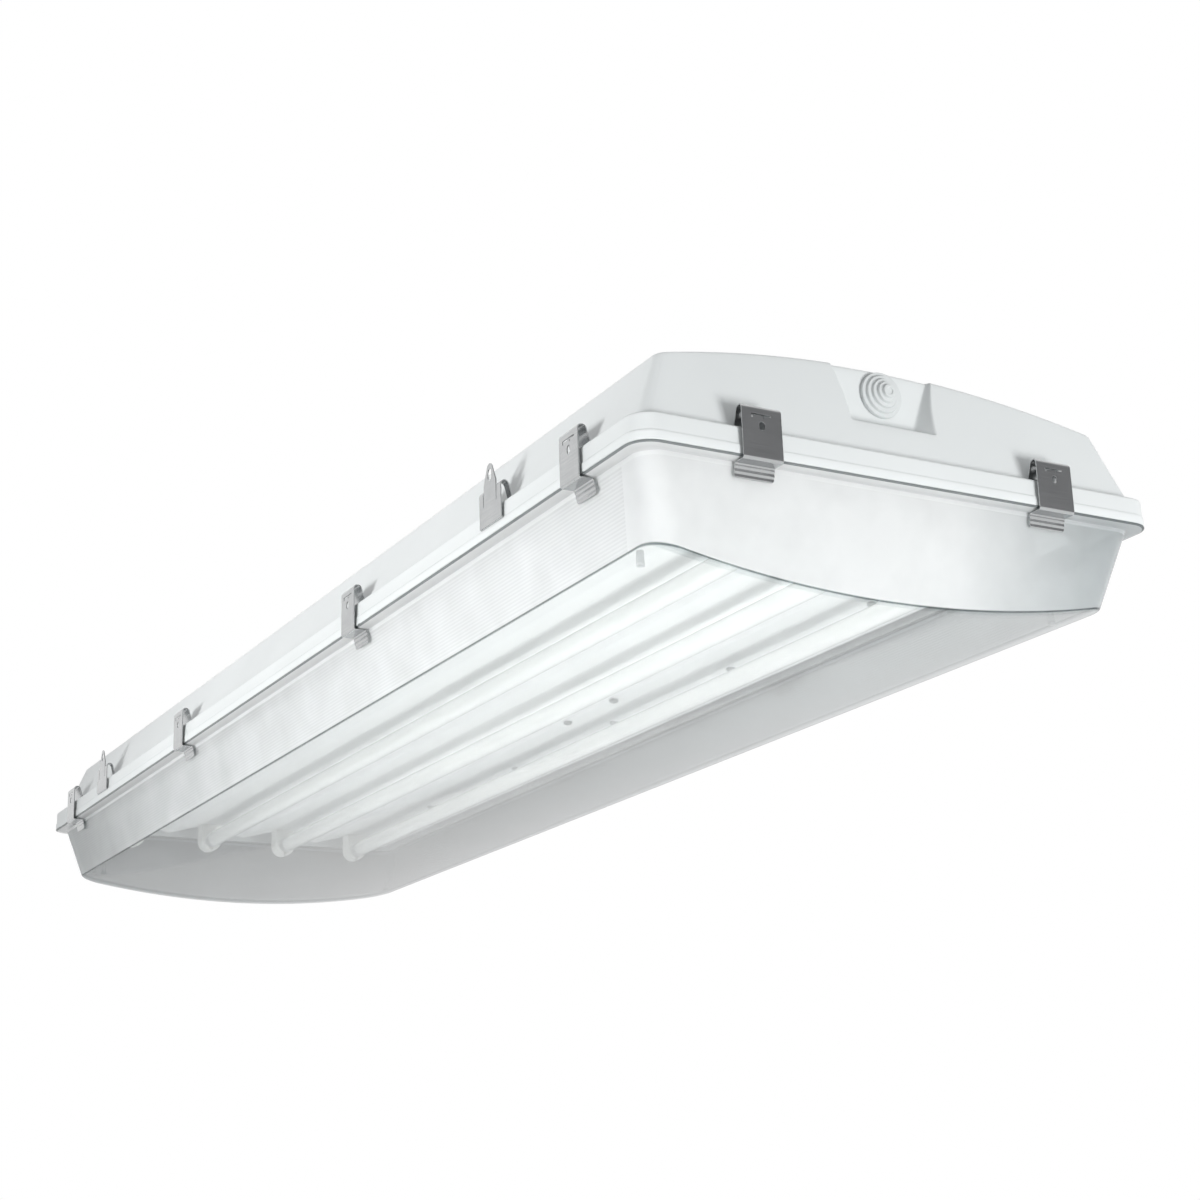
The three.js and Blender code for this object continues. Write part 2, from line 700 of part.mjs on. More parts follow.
// Hanger, drawn like the latch: front plate with a holed tongue, two strips that loop over to the ledge
function hangerSolid() {
  const half = hangerWidth / 2;
  const slit = hangerSlitBottom;
  const tongueHalf = half - hangerStripWidth - hangerSlitWidth;
  const tipZ = tongueTipHeight - tongueTipRadius;
  const lipZ = hangerBottom + hangerLipRadius;
  const rightSide = [
    new THREE.Vector2(half, lipZ),
    new THREE.Vector2(half, slit),
    new THREE.Vector2(tongueHalf, slit),
    new THREE.Vector2(tongueHalf, tongueBaseHeight),
    ...arc(0, tipZ, tongueTipRadius, tongueTaper, Math.PI / 2),
  ];
  const leftSide = rightSide.slice(0, -1).map((point) => new THREE.Vector2(-point.x, point.y));
  const plate = extrude(new THREE.Shape([...rightSide, ...leftSide.reverse()]), steel, "x");

  const lipX = hangerStand - hangerLipRadius;
  const lipPath = [
    new THREE.Vector2(hangerStand, lipZ + weld),
    ...arc(lipX, lipZ, hangerLipRadius, 0, -Math.PI / 2),
    new THREE.Vector2(seatGap, hangerBottom),
  ];
  const lip = extrude(stripShape(lipPath, steel), hangerWidth, "y");

  const strips = [-1, 1].map((side) => {
    const path = [...legPath(hangerStand), new THREE.Vector2(hangerStand, slit - weld)];
    const middle = side * (half - hangerStripWidth / 2);
    const strip = extrude(stripShape(path, steel), hangerStripWidth, "y");
    const reach = hangerStripWidth / 2;
    const foot = crossRod(footRadius, -reach, reach, -footAxisInset, footAxisHeight);
    return strip.add(foot).translate([0, middle, 0]);
  });
  const oval = ovalShape(hangerHoleWidth, hangerHoleLength, 0, hangerHoleHeight);
  const hole = extrude(oval, steel + 2 * overrun, "x");
  return join([plate.subtract(hole).translate([hangerStand, 0, 0]), lip, ...strips]);
}

// Grommet: outer face of the wall at y = 0 of the section, steps outwards, grip inside the wall
function grommetGeometry() {
  const inside = shellWall + seatGap;
  const section = [
    new THREE.Vector2(0, -inside - grommetGripLength),
    new THREE.Vector2(entryHoleRadius, -inside - grommetGripLength),
    new THREE.Vector2(grommetGripRadius, -inside),
    new THREE.Vector2(entryHoleRadius, -inside),
    new THREE.Vector2(entryHoleRadius, seatGap),
    new THREE.Vector2(grommetFlangeRadius, seatGap),
  ];
  let height = seatGap + grommetFlangeThickness;
  section.push(new THREE.Vector2(grommetFlangeRadius, height));
  for (const radius of grommetStepRadii) {
    section.push(new THREE.Vector2(radius, height));
    height += grommetStepLength;
    section.push(new THREE.Vector2(radius, height));
  }
  section.push(new THREE.Vector2(0, height));
  return new THREE.LatheGeometry(section, grommetSides).rotateZ(-Math.PI / 2);
}

// Screw, pointing up: head's seat at z = 0
function screwGeometry() {
  const section = [
    new THREE.Vector2(0, -screwHeadHeight),
    new THREE.Vector2(screwHeadRadius - 2 * screwHeadRound, -screwHeadHeight),
    new THREE.Vector2(screwHeadRadius, -screwHeadHeight + screwHeadRound),
    new THREE.Vector2(screwHeadRadius, 0),
    new THREE.Vector2(screwRadius, 0),
    new THREE.Vector2(screwRadius, screwLength),
    new THREE.Vector2(0, screwLength),
  ];
  return new THREE.LatheGeometry(section, smallSides).rotateX(Math.PI / 2);
}

// Ballast: a can on two feet, bottom at z = 0
function ballastSolid() {
  const can = box(ballastLength, ballastWidth, ballastHeight, 0, 0, ballastHeight / 2);
  const footLength = ballastLength + 2 * ballastFoot;
  const feet = box(footLength, ballastWidth, ballastFootThickness, 0, 0, ballastFootThickness / 2);
  return can.add(feet);
}

// Terminal block, its bottom shaped to the valley above the ridge, with a hole for each screw
const blockY = lampPitch;
const blockScrewXs = [blockCentre - blockScrewSpacing / 2, blockCentre + blockScrewSpacing / 2];
function blockSolid() {
  const slope = channelRise / ((lampPitch - channelFlat) / 2);
  const half = blockWidth / 2;
  const shape = new THREE.Shape([
    new THREE.Vector2(0, 0),
    new THREE.Vector2(half, half * slope),
    new THREE.Vector2(half, blockHeight),
    new THREE.Vector2(-half, blockHeight),
    new THREE.Vector2(-half, half * slope),
  ]);
  const holes = blockScrewXs.map((x) =>
    uprightRod(screwRadius + seatGap, -overrun, screwLength + overrun, x - blockCentre, 0),
  );
  return cut(extrude(shape, blockLength, "x"), holes);
}

// Wiring loom of the +X end: a branch over all lampholders and a trunk back to a ballast
function loomSolid(trunkY, trunkStart) {
  const branchX = lampHalf + seatGap + holderDepth / 2;
  const z = channelTop + seatGap + loomRadius;
  const reach = outerLampY + loomPastHolders;
  const branch = crossRod(loomRadius, -reach, reach, branchX, z);
  return branch.add(lengthRod(loomRadius, trunkStart, branchX, trunkY, z));
}

// The assembly
const fixture = new THREE.Group();
const ends = [
  ["near", 1],
  ["far", -1],
];

function piece(name, geometry, surface) {
  const mesh = new THREE.Mesh(geometry, surface);
  mesh.name = name;
  fixture.add(mesh);
  return mesh;
}

piece("housing", toGeometry(housingSolid()), housingGrey());
piece("gasket", toGeometry(gasketSolid()), sealRubber());
piece("lens", toGeometry(lensSolid()), clearPlastic());
piece("reflector", toGeometry(reflectorSolid()), whiteSheet());

for (const [name, x, y, turn, width] of latchPlaces) {
  const latch = piece(name, toGeometry(latchSolid(width)), stainless());
  latch.position.set(x, y, 0);
  latch.rotation.z = turn;
}

const hangerGeometry = toGeometry(hangerSolid());
for (const [name, x, y, turn] of hangerPlaces) {
  const hanger = piece(name, hangerGeometry, stainless());
  hanger.position.set(x, y, 0);
  hanger.rotation.z = turn;
}

const capGeometry = toGeometry(capSolid());
const holderGeometry = toGeometry(holderSolid());
lampYs.forEach((y, i) => {
  const tube = piece("lamp_tube_" + (i + 1), tubeGeometry(), lampGlass());
  tube.position.set(0, y, -lampAxisDrop);
  for (const [end, side] of ends) {
    const cap = piece("lamp_cap_" + end + "_" + (i + 1), capGeometry, capMetal());
    cap.position.set(side * (lampHalf - capLength), y, -lampAxisDrop);
    cap.rotation.z = side > 0 ? east : west;
    const holder = piece("lampholder_" + end + "_" + (i + 1), holderGeometry, whitePlastic());
    holder.position.set(side * (lampHalf + seatGap), y, -lampAxisDrop);
    holder.rotation.z = side > 0 ? east : west;
  }
});

for (const [end, side] of ends) {
  const grommet = piece("cable_grommet_" + end, grommetGeometry(), grommetRubber());
  grommet.position.set(side * pocketFace, 0, entryHeight);
  grommet.rotation.z = side > 0 ? east : west;
}

reflectorScrewXs.forEach((x, i) => {
  for (const [row, side] of [["a", -1], ["b", 1]]) {
    const screw = piece("reflector_screw_" + row + (i + 1), screwGeometry(), screwSteel());
    screw.position.set(x, side * reflectorScrewY, channelRise - seatGap);
  }
});
blockScrewXs.forEach((x, i) => {
  const screw = piece("terminal_block_screw_" + (i + 1), screwGeometry(), screwSteel());
  screw.position.set(x, blockY, -seatGap);
});
const block = piece("terminal_block", toGeometry(blockSolid()), blockPlastic());
block.position.set(blockCentre, blockY, sheet + 2 * seatGap);

const innerLampY = lampPitch / 2;
for (const [name, y] of [["ballast_1", -innerLampY], ["ballast_2", innerLampY]]) {
  const ballast = piece(name, toGeometry(ballastSolid()), gearSteel());
  ballast.position.set(ballastCentre, y, channelTop + seatGap);
}
const ballastReach = ballastLength / 2 + ballastFoot + seatGap;
const nearLoom = loomSolid(innerLampY, ballastReach + ballastCentre);
const farLoom = loomSolid(innerLampY, ballastReach - ballastCentre);
piece("wiring_loom_near", toGeometry(nearLoom), wireJacket());
piece("wiring_loom_far", toGeometry(farLoom), wireJacket()).rotation.z = west;

export default fixture;
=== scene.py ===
# Looks of the vapor tight light fixture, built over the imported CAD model.
# Sizes in the dictionaries are millimetres unless a note says otherwise; finished meshes are in metres.
import bmesh
import bpy
import numpy as np
from math import asin, atan2, cos, hypot, pi, radians, sin
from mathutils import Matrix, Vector
from mathutils.geometry import delaunay_2d_cdt


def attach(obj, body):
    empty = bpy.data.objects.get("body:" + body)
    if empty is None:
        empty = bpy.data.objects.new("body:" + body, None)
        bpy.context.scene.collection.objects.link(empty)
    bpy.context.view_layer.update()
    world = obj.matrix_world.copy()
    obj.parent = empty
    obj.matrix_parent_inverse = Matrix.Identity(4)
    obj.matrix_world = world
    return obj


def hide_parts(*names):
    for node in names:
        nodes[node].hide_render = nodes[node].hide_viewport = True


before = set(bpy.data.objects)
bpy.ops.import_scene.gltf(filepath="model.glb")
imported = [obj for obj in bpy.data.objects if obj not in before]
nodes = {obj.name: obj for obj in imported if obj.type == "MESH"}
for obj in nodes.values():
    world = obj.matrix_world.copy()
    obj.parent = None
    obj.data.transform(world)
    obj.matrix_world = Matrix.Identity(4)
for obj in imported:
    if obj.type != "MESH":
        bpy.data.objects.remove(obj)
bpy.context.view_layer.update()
mm = 0.001
doublesWithin = 2e-6  # metres; nearer points of a piece are merged
tiny = 1e-6  # keeps divisions off zero
print("frame loaded:", len(nodes), "nodes")


# Camera: placed by the photograph's perspective

camera = {
    "place": (1.649, -0.80436, -0.46316),  # metres
    "turn": (107.0283, 1.6498, 61.7049),  # degrees
    "lens": 64.008,
    "shift": (0.0231, 0.00666),
}

eye = bpy.data.objects.new("camera", bpy.data.cameras.new("camera"))
bpy.context.scene.collection.objects.link(eye)
eye.location = camera["place"]
eye.rotation_euler = [radians(angle) for angle in camera["turn"]]
eye.data.sensor_width = 36
eye.data.lens = camera["lens"]
eye.data.shift_x, eye.data.shift_y = camera["shift"]
eye.data.clip_end = 100
bpy.context.scene.camera = eye
bpy.context.scene.view_settings.view_transform = "Standard"


# Mesh helpers

def gridFaces(rows, columns):
    # quads between neighbouring rows of points; the last column is joined to the first
    row = np.arange(rows - 1)[:, None]
    here = np.arange(columns)[None]
    there = (here + 1) % columns
    corners = [row * columns + here, row * columns + there]
    corners += [(row + 1) * columns + there, (row + 1) * columns + here]
    return np.stack(corners, -1).reshape(-1, 4)


def outward(points, faces):
    # the volume, a sum of (a x b) . c over the triangles, is positive when a closed shell's faces look out
    volume = 0
    for group in faces:
        a, b, c = points[group[:, 0]], points[group[:, 1]], points[group[:, 2]]
        volume += (np.cross(a, b) * c).sum()
        if group.shape[1] == 4:
            d = points[group[:, 3]]
            volume += (np.cross(a, c) * d).sum()
    return points, [group if volume > 0 else group[:, ::-1] for group in faces]


def shell(rows):
    # closed skin over rows of points of shape (rows, columns, 3), round in the columns
    rows = np.asarray(rows)
    points = rows.reshape(-1, 3)
    return outward(points, [gridFaces(rows.shape[0], rows.shape[1])])


def softRows(rows, reaches, steps=3):
    # rounds the profile at a row by the parabola a(1-t)^2 + 2ct(1-t) + bt^2, where a and b lie
    # one reach before and after the corner c, or 0.45 of a side that is too short for it
    t = np.linspace(0, 1, steps + 1).reshape(-1, *[1] * np.ndim(rows[0]))
    out = [rows[0]]
    for before, corner, after, reach in zip(rows, rows[1:], rows[2:], reaches[1:-1]):
        if not reach:
            out.append(corner)
            continue
        ends = []
        for side in (before, after):
            way = side - corner
            length = np.linalg.norm(way, axis=-1, keepdims=True)
            ends.append(corner + way * np.minimum(reach / np.maximum(length, tiny), 0.45))
        out.extend(ends[0] * (1 - t) ** 2 + 2 * corner * t * (1 - t) + ends[1] * t**2)
    out.append(rows[-1])
    return np.array(out)


def turned(profile, axis, centre, steps, flip=1):
    # a profile of (along, radius) turned round an axis: (along, r cos a, r sin a)
    profile = np.asarray(profile, float)
    angle = np.arange(steps) * 2 * pi / steps
    along = np.repeat(profile[:, :1] * flip, steps, 1)
    ring = [along, profile[:, 1:] * np.cos(angle), profile[:, 1:] * np.sin(angle)]
    order = {"x": (0, 1, 2), "y": (2, 0, 1), "z": (1, 2, 0)}[axis]
    rows = np.stack([ring[k] for k in order], -1)
    return shell(rows + np.array(centre, float))


def addPiece(name, parts, material, body, stands, crease, bevel=0):
    # one object from several closed parts; doubles at seams and poles are merged
    points, faces, start = [], [], 0
    for part, groups in parts:
        points.append(part)
        for group in groups:
            faces.extend((group + start).tolist())
        start += len(part)
    mesh = bpy.data.meshes.new(name)
    mesh.from_pydata((np.concatenate(points) * mm).tolist(), [], faces)
    mesh.materials.append(material)
    return finishPiece(name, mesh, body, stands, crease, bevel)


def finishPiece(name, mesh, body, stands, crease, bevel):
    work = bmesh.new()
    work.from_mesh(mesh)
    bmesh.ops.remove_doubles(work, verts=work.verts, dist=doublesWithin)
    work.to_mesh(mesh)
    work.free()
    mesh.shade_smooth()
    mesh.set_sharp_from_angle(angle=radians(crease))
    piece = bpy.data.objects.new(name, mesh)
    bpy.context.scene.collection.objects.link(piece)
    if bevel:
        softEdges = piece.modifiers.new("edges", "BEVEL")
        softEdges.width = bevel * mm
        softEdges.segments = 2
        softEdges.limit_method = "ANGLE"
        softEdges.angle_limit = radians(crease)
        softEdges.harden_normals = False
    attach(piece, body)
    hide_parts(*stands)
    return piece


def roundedCopy(name, material, body, bevel, crease=32):
    # a CAD node whose shape is right, merged and given soft edges
    source = nodes[name].data
    points = np.zeros(len(source.vertices) * 3, np.float32)
    corners = np.zeros(len(source.loops), np.int32)
    source.vertices.foreach_get("co", points)
    source.loops.foreach_get("vertex_index", corners)
    mesh = bpy.data.meshes.new(name + "_soft")
    mesh.from_pydata(points.reshape(-1, 3).tolist(), [], corners.reshape(-1, 3).tolist())
    mesh.materials.append(material)
    return finishPiece(name + "_soft", mesh, body, [name], crease, bevel)


# Materials

def link(tree, output, socket):
    tree.links.new(output, socket)


def node(tree, kind, **settings):
    made = tree.nodes.new("ShaderNode" + kind)
    for key, value in settings.items():
        if key.startswith("in_"):
            name = key[3:].replace("_", " ")
            made.inputs[name].default_value = value
        else:
            setattr(made, key, value)
    return made


def plainMaterial(name):
    material = bpy.data.materials.new(name)
    material.use_nodes = True
    tree = material.node_tree
    place = node(tree, "TexCoord").outputs["Object"]
    return material, tree, tree.nodes["Principled BSDF"], place


def noise(tree, place, scale, detail=4, stretch=(1, 1, 1)):
    # noise on object coordinates; scale is per metre, stretch shrinks the grain along an axis
    mapping = node(tree, "Mapping")
    mapping.inputs["Scale"].default_value = stretch
    link(tree, place, mapping.inputs["Vector"])
    texture = node(tree, "TexNoise", in_Scale=scale, in_Detail=detail)
    link(tree, mapping.outputs["Vector"], texture.inputs["Vector"])
    return texture.outputs["Fac"]


def spread(tree, value, low, high, fromLow=0.3, fromHigh=0.7):
    ranged = node(tree, "MapRange")
    for key, number in zip(("From Min", "From Max", "To Min", "To Max"), (fromLow, fromHigh, low, high)):
        ranged.inputs[key].default_value = number
    link(tree, value, ranged.inputs["Value"])
    return ranged.outputs["Result"]


def tint(tree, value, dark, light, start=0.3, end=0.7):
    shades = node(tree, "ValToRGB")
    for stop, colour, place in zip(shades.color_ramp.elements, (dark, light), (start, end)):
        stop.color = (*colour, 1)
        stop.position = place
    link(tree, value, shades.inputs["Fac"])
    return shades.outputs["Color"]


def ramp(tree, value, run, low, high):
    # low to high over a run of places in millimetres
    return spread(tree, value, low, high, run[0] * mm, run[1] * mm)


def calculate(tree, operation, a, b=None, clamp=False):
    made = node(tree, "Math", operation=operation, use_clamp=clamp)
    for socket, value in zip(made.inputs, (a, b)):
        if value is None:
            continue
        if hasattr(value, "is_linked"):
            link(tree, value, socket)
        else:
            socket.default_value = value
    return made.outputs[0]


def times(tree, value, *others):
    for other in others:
        value = calculate(tree, "MULTIPLY", value, other)
    return value


def filtered(tree, colour, mask, shade):
    # the colour, multiplied by a shade where the mask is 1
    made = node(tree, "VectorMath", operation="MULTIPLY")
    link(tree, colour, made.inputs[0])
    link(tree, tint(tree, mask, (1, 1, 1), shade, 0, 1), made.inputs[1])
    return made.outputs[0]


def axesOf(tree, vector):
    parts = node(tree, "SeparateXYZ")
    link(tree, vector, parts.inputs[0])
    return parts.outputs


def mixed(tree, share, first, second):
    # two shaders; share is a number or a socket
    mix = node(tree, "MixShader")
    if hasattr(share, "is_linked"):
        link(tree, share, mix.inputs["Fac"])
    else:
        mix.inputs["Fac"].default_value = share
    link(tree, first, mix.inputs[1])
    link(tree, second, mix.inputs[2])
    return mix.outputs[0]


def finishMaterial(name, look):
    # two close shades on a soft cloud, a fine grain for the roughness and the bump
    material, tree, shader, place = plainMaterial(name)
    cloud = noise(tree, place, look["cloud"], 3)
    grain = noise(tree, place, look["grain"], 5, look.get("stretch", (1, 1, 1)))
    link(tree, tint(tree, cloud, look["dark"], look["light"]), shader.inputs["Base Color"])
    link(tree, spread(tree, grain, *look["roughness"]), shader.inputs["Roughness"])
    shader.inputs["Metallic"].default_value = look.get("metal", 0)
    shader.inputs["Specular IOR Level"].default_value = look.get("specular", 0.5)
    shader.inputs["Coat Weight"].default_value = look.get("coat", 0)
    bump = node(tree, "Bump", in_Strength=look.get("bump", 0.2), in_Distance=look.get("depth", 0.05) * mm)
    link(tree, grain, bump.inputs["Height"])
    link(tree, bump.outputs["Normal"], shader.inputs["Normal"])
    return material


looks = {
    "housing": {"dark": (0.69, 0.715, 0.715), "light": (0.73, 0.755, 0.755), "cloud": 9, "grain": 900,
                "roughness": (0.36, 0.5), "bump": 0.25, "depth": 0.06},
    "reflector": {"dark": (0.9, 0.905, 0.9), "light": (0.93, 0.935, 0.93), "cloud": 6, "grain": 600,
                  "roughness": (0.3, 0.42), "bump": 0.12, "depth": 0.03},
    "lampGlass": {"dark": (0.86, 0.865, 0.85), "light": (0.9, 0.9, 0.885), "cloud": 14, "grain": 500,
                  "roughness": (0.12, 0.2), "bump": 0.04, "depth": 0.02, "coat": 0.4},
    "lampCap": {"dark": (0.6, 0.61, 0.62), "light": (0.72, 0.73, 0.74), "cloud": 60, "grain": 700,
                "roughness": (0.25, 0.42), "bump": 0.15, "depth": 0.03, "metal": 1, "stretch": (0.1, 1, 1)},
    "lampholder": {"dark": (0.82, 0.82, 0.79), "light": (0.86, 0.86, 0.83), "cloud": 40, "grain": 900,
                   "roughness": (0.32, 0.44), "bump": 0.12, "depth": 0.03},
    "screw": {"dark": (0.42, 0.43, 0.43), "light": (0.56, 0.57, 0.57), "cloud": 150, "grain": 900,
              "roughness": (0.28, 0.45), "bump": 0.2, "depth": 0.03, "metal": 1},
    "gasket": {"dark": (0.085, 0.09, 0.094), "light": (0.12, 0.125, 0.13), "cloud": 60, "grain": 2500,
               "roughness": (0.7, 0.9), "bump": 0.5, "depth": 0.08, "specular": 0.3},
    "ballast": {"dark": (0.73, 0.73, 0.7), "light": (0.79, 0.79, 0.76), "cloud": 20, "grain": 800,
                "roughness": (0.4, 0.55), "bump": 0.15, "depth": 0.04},
    "block": {"dark": (0.62, 0.61, 0.55), "light": (0.68, 0.67, 0.6), "cloud": 50, "grain": 1200,
              "roughness": (0.45, 0.6), "bump": 0.2, "depth": 0.04},
    "wire": {"dark": (0.58, 0.58, 0.55), "light": (0.66, 0.66, 0.63), "cloud": 40, "grain": 900,
             "roughness": (0.5, 0.65), "bump": 0.2, "depth": 0.05, "stretch": (1, 1, 0.2)},
    "grommet": {"dark": (0.6, 0.625, 0.625), "light": (0.66, 0.685, 0.685), "cloud": 80, "grain": 1600,
                "roughness": (0.5, 0.62), "bump": 0.25, "depth": 0.04},
}
finish = {key: finishMaterial(key, look) for key, look in looks.items()}


steelLook = {
    "dark": (0.46, 0.47, 0.475),
    "light": (0.58, 0.59, 0.595),
    "grain": 260,  # per metre, before the stretch along the brush lines
    "lines": (0.12, 0.12, 9),  # brush lines run level round the fixture
    "cloud": 55,
    "lineShare": 0.6,
    "roughness": (0.2, 0.27),
    "bump": 0.04,
    "depth": 0.03,
}


def brushedSteel():
    # stainless strip: level brush lines from a noise squeezed in height, over faint broad clouds
    material, tree, shader, place = plainMaterial("brushedSteel")
    look = steelLook
    lines = noise(tree, place, look["grain"], 6, look["lines"])
    cloud = noise(tree, place, look["cloud"], 3)
    share = look["lineShare"]
    both = calculate(tree, "ADD", times(tree, lines, share), times(tree, cloud, 1 - share))
    link(tree, tint(tree, both, look["dark"], look["light"]), shader.inputs["Base Color"])
    link(tree, spread(tree, lines, *look["roughness"]), shader.inputs["Roughness"])
    shader.inputs["Metallic"].default_value = 1
    bump = node(tree, "Bump", in_Strength=look["bump"], in_Distance=look["depth"] * mm)
    link(tree, lines, bump.inputs["Height"])
    link(tree, bump.outputs["Normal"], shader.inputs["Normal"])
    return material


finish["steel"] = brushedSteel()
print("materials made:", len(finish))


# Plan of the housing and the lens: a rounded rectangle whose columns keep their places at every height

rim = {
    "halfLength": 640,
    "halfWidth": 202.5,
    "corner": 17,
    "latchFoot": (7, 22),  # inset and height of the axis that a latch swings about
}


def planColumns(sideShares, endCount, cornerCount):
    # each column: share of the straight run in x and y, outward direction, place across the end wall
    arc = (np.arange(cornerCount) + 0.5) / cornerCount * pi / 2
    across = (np.arange(endCount) + 0.5) / endCount * 2 - 1
    parts = []
    for quarter in range(4):
        if quarter % 2:
            run = sideShares if quarter == 1 else sideShares[::-1]
            sign = 1 if quarter == 1 else -1
            parts.append([run, 0 * run + sign, 0 * run, 0 * run + sign])
        else:
            sign = 1 if quarter == 0 else -1
            run = across * sign
            parts.append([0 * run + sign, run, 0 * run + sign, 0 * run])
        turn = quarter * pi / 2 + arc
        signX, signY = [(1, 1), (-1, 1), (-1, -1), (1, -1)][quarter]
        parts.append([0 * turn + signX, 0 * turn + signY, np.cos(turn), np.sin(turn)])
    shareX, shareY, wayX, wayY = np.concatenate(parts, 1)
    columns = {"x": shareX, "y": shareY, "nx": wayX, "ny": wayY}
    columns["end"], columns["side"] = np.abs(wayX) == 1, np.abs(wayY) == 1
    return columns


def planRow(columns, halfX, halfY, corner, z):
    # outline of a rounded rectangle: straight runs plus corner arcs
    x = columns["x"] * (halfX - corner) + corner * columns["nx"]
    y = columns["y"] * (halfY - corner) + corner * columns["ny"]
    return np.stack([x, y, z + 0 * x], -1)


def rimRow(columns, inset, z):
    return planRow(columns, rim["halfLength"] - inset, rim["halfWidth"] - inset, rim["corner"] - inset, z)


def crownHeight(y, top, rise, half, offset):
    # arc over the width: chord of half width at height top, rise at the middle, offset off its surface
    radius = (half**2 + rise**2) / (2 * abs(rise))
    way = np.sign(rise)
    return top + rise - way * radius + way * np.sqrt((radius + offset) ** 2 - y**2)


def crownEdge(columns, wall, crown, start, margin):
    # height at which each column of a leaning wall meets the crown, closer with each round
    z = start + 0 * columns["x"]
    for _ in range(6):
        z = crown(wall(columns, z, margin)[:, 1], -margin)
    return z


def crownRows(columns, edge, half, crown, margin, count):
    # rows from the crown's edge to its ridge, slightly closer there: the width shrinks to nothing, and each
    # end meets in one point of the ridge, as far from the end wall as from the sides
    share = np.linspace(0, 1, count + 1)[1:, None] ** 0.9
    reach = np.abs(edge[:, 0]).max()
    ridge = np.where(columns["side"], edge[:, 0] / reach, np.sign(columns["x"])) * (reach - half)
    x = edge[:, 0] + share * (ridge - edge[:, 0])
    y = edge[:, 1] * (1 - share)
    return list(np.stack([x, y, crown(y, -margin)], -1))


# Housing: crowned moulded shell with a pocket in each end wall

housing = {
    "foot": 22.5,  # height of the ledge that the walls rise from
    "wall": 46.2,
    "footInset": (9.4, 9.7),  # from the rim, at the ends and at the sides
    "lean": (10.9, 18.8),
    "corners": (8, 6),  # plan radius at the foot and at the top
    "crown": 20.4,
    "shell": 3,
    "topSoft": 2.4,
    "shelfSoft": 1.6,
    "shelfFoot": 8,
    "footSoft": 0.8,
    "pocketFace": 612,
    "pocketBottom": 46,
    "pocketTop": 92.1,
    "faceHalf": (23, 41.5),  # half width of the pocket's face at its bottom and at its top
    "mouthHalf": (46, 44),  # the same at the rim's end
    "pocketEdge": 1.1,
    "lipReach": 2.2,
    "endShares": (0, 0.24, 0.36, 0.5, 0.64, 1),  # of the columns, at the pocket's bends and at the corner
    "rim": [(8.3, 21, 0.8), (3.6, 21, 2.2), (0.75, 19.4, 1.2), (0.6, 8.4, 0.35), (0, 7.8, 0.9),
            (0, 1.8, 0.6), (3, 1.8, 0.4), (3, 18, 1), (9.2, 18, 1), (9.2, 3.1, 0.5), (12.2, 3.1, 0.5),
            (12.2, 18, 1)],  # inset, height and softness down the outside, round the channel and up
    "bossRadii": (2.3, 4.5, 4.7),  # of the screw's hole, of the tip and of the root
    "bossBottom": 9.6,
    "bossSunk": 2,
    "bossY": 142,
    "bossX": (-400, -200, 0, 200, 400),
    "sideShare": 0.985,  # share of the straight side that its columns reach
    "columns": (41, 96, 12),  # along a side, across an end, round a corner
    "rows": (12, 8),  # over the crown, down the wall
}
roofEdge = housing["foot"] + housing["wall"]
roofHalf = rim["halfWidth"] - housing["footInset"][1] - housing["lean"][1]


def roof(y, offset):
    return crownHeight(y, roofEdge, housing["crown"], roofHalf, offset)


def softBend(t, reach):
    # max(t, 0) with a parabola (t + reach)^2 / 4 reach where it turns
    bend = np.maximum(reach, tiny)
    return np.where(t > bend, t, np.where(t < -bend, 0, (t + bend) ** 2 / (4 * bend)))


def wallPlan(z, margin):
    h = housing
    share = (z - h["foot"]) / h["wall"]
    halfX = rim["halfLength"] - h["footInset"][0] - share * h["lean"][0] - margin
    halfY = rim["halfWidth"] - h["footInset"][1] - share * h["lean"][1] - margin
    corner = h["corners"][0] + share * (h["corners"][1] - h["corners"][0]) - margin
    return halfX, halfY, corner


def wallRow(columns, z, margin, inPocket=True):
    # wall at height z; the end columns follow the pocket's two slanting edges
    h = housing
    z = z + 0 * columns["x"]
    halfX, halfY, corner = wallPlan(z, margin)
    row = planRow(columns, halfX, halfY, corner, z)
    floor = h["pocketBottom"] - margin
    up = np.clip((z - floor) / (h["pocketTop"] - floor), 0, 1)
    face = h["faceHalf"][0] + (h["faceHalf"][1] - h["faceHalf"][0]) * up + margin
    mouth = h["mouthHalf"][0] + (h["mouthHalf"][1] - h["mouthHalf"][0]) * up + margin
    faceX = h["pocketFace"] - margin
    slope = (rim["halfLength"] - faceX) / (mouth - face)
    lip = face + np.maximum(halfX - faceX, 0) / slope
    straight = halfY - corner
    reach = h["lipReach"]
    middle = (face + lip) / 2
    stops = [0 * face, face - reach, np.minimum(face + reach, middle), np.maximum(lip - reach, middle),
             np.maximum(lip, middle) + reach, straight]
    place = np.abs(columns["y"])
    y = 0 * z
    for low, high, a, b in zip(stops, stops[1:], h["endShares"], h["endShares"][1:]):
        between = (place >= a) & (place <= b)
        y = np.where(between, low + (high - low) * (place - a) / (b - a), y)
    depth = 0 * z
    if inPocket:
        pocketX = faceX + slope * softBend(y - face, h["pocketEdge"])
        depth = softBend(halfX - pocketX, h["pocketEdge"] * slope * 0.5)
    end = columns["end"]
    row[:, 0] = np.where(end, np.sign(columns["x"]) * (halfX - depth), row[:, 0])
    row[:, 1] = np.where(end, np.sign(columns["y"]) * y, row[:, 1])
    return row


def wallNoPocket(columns, z, margin):
    return wallRow(columns, z, margin, False)


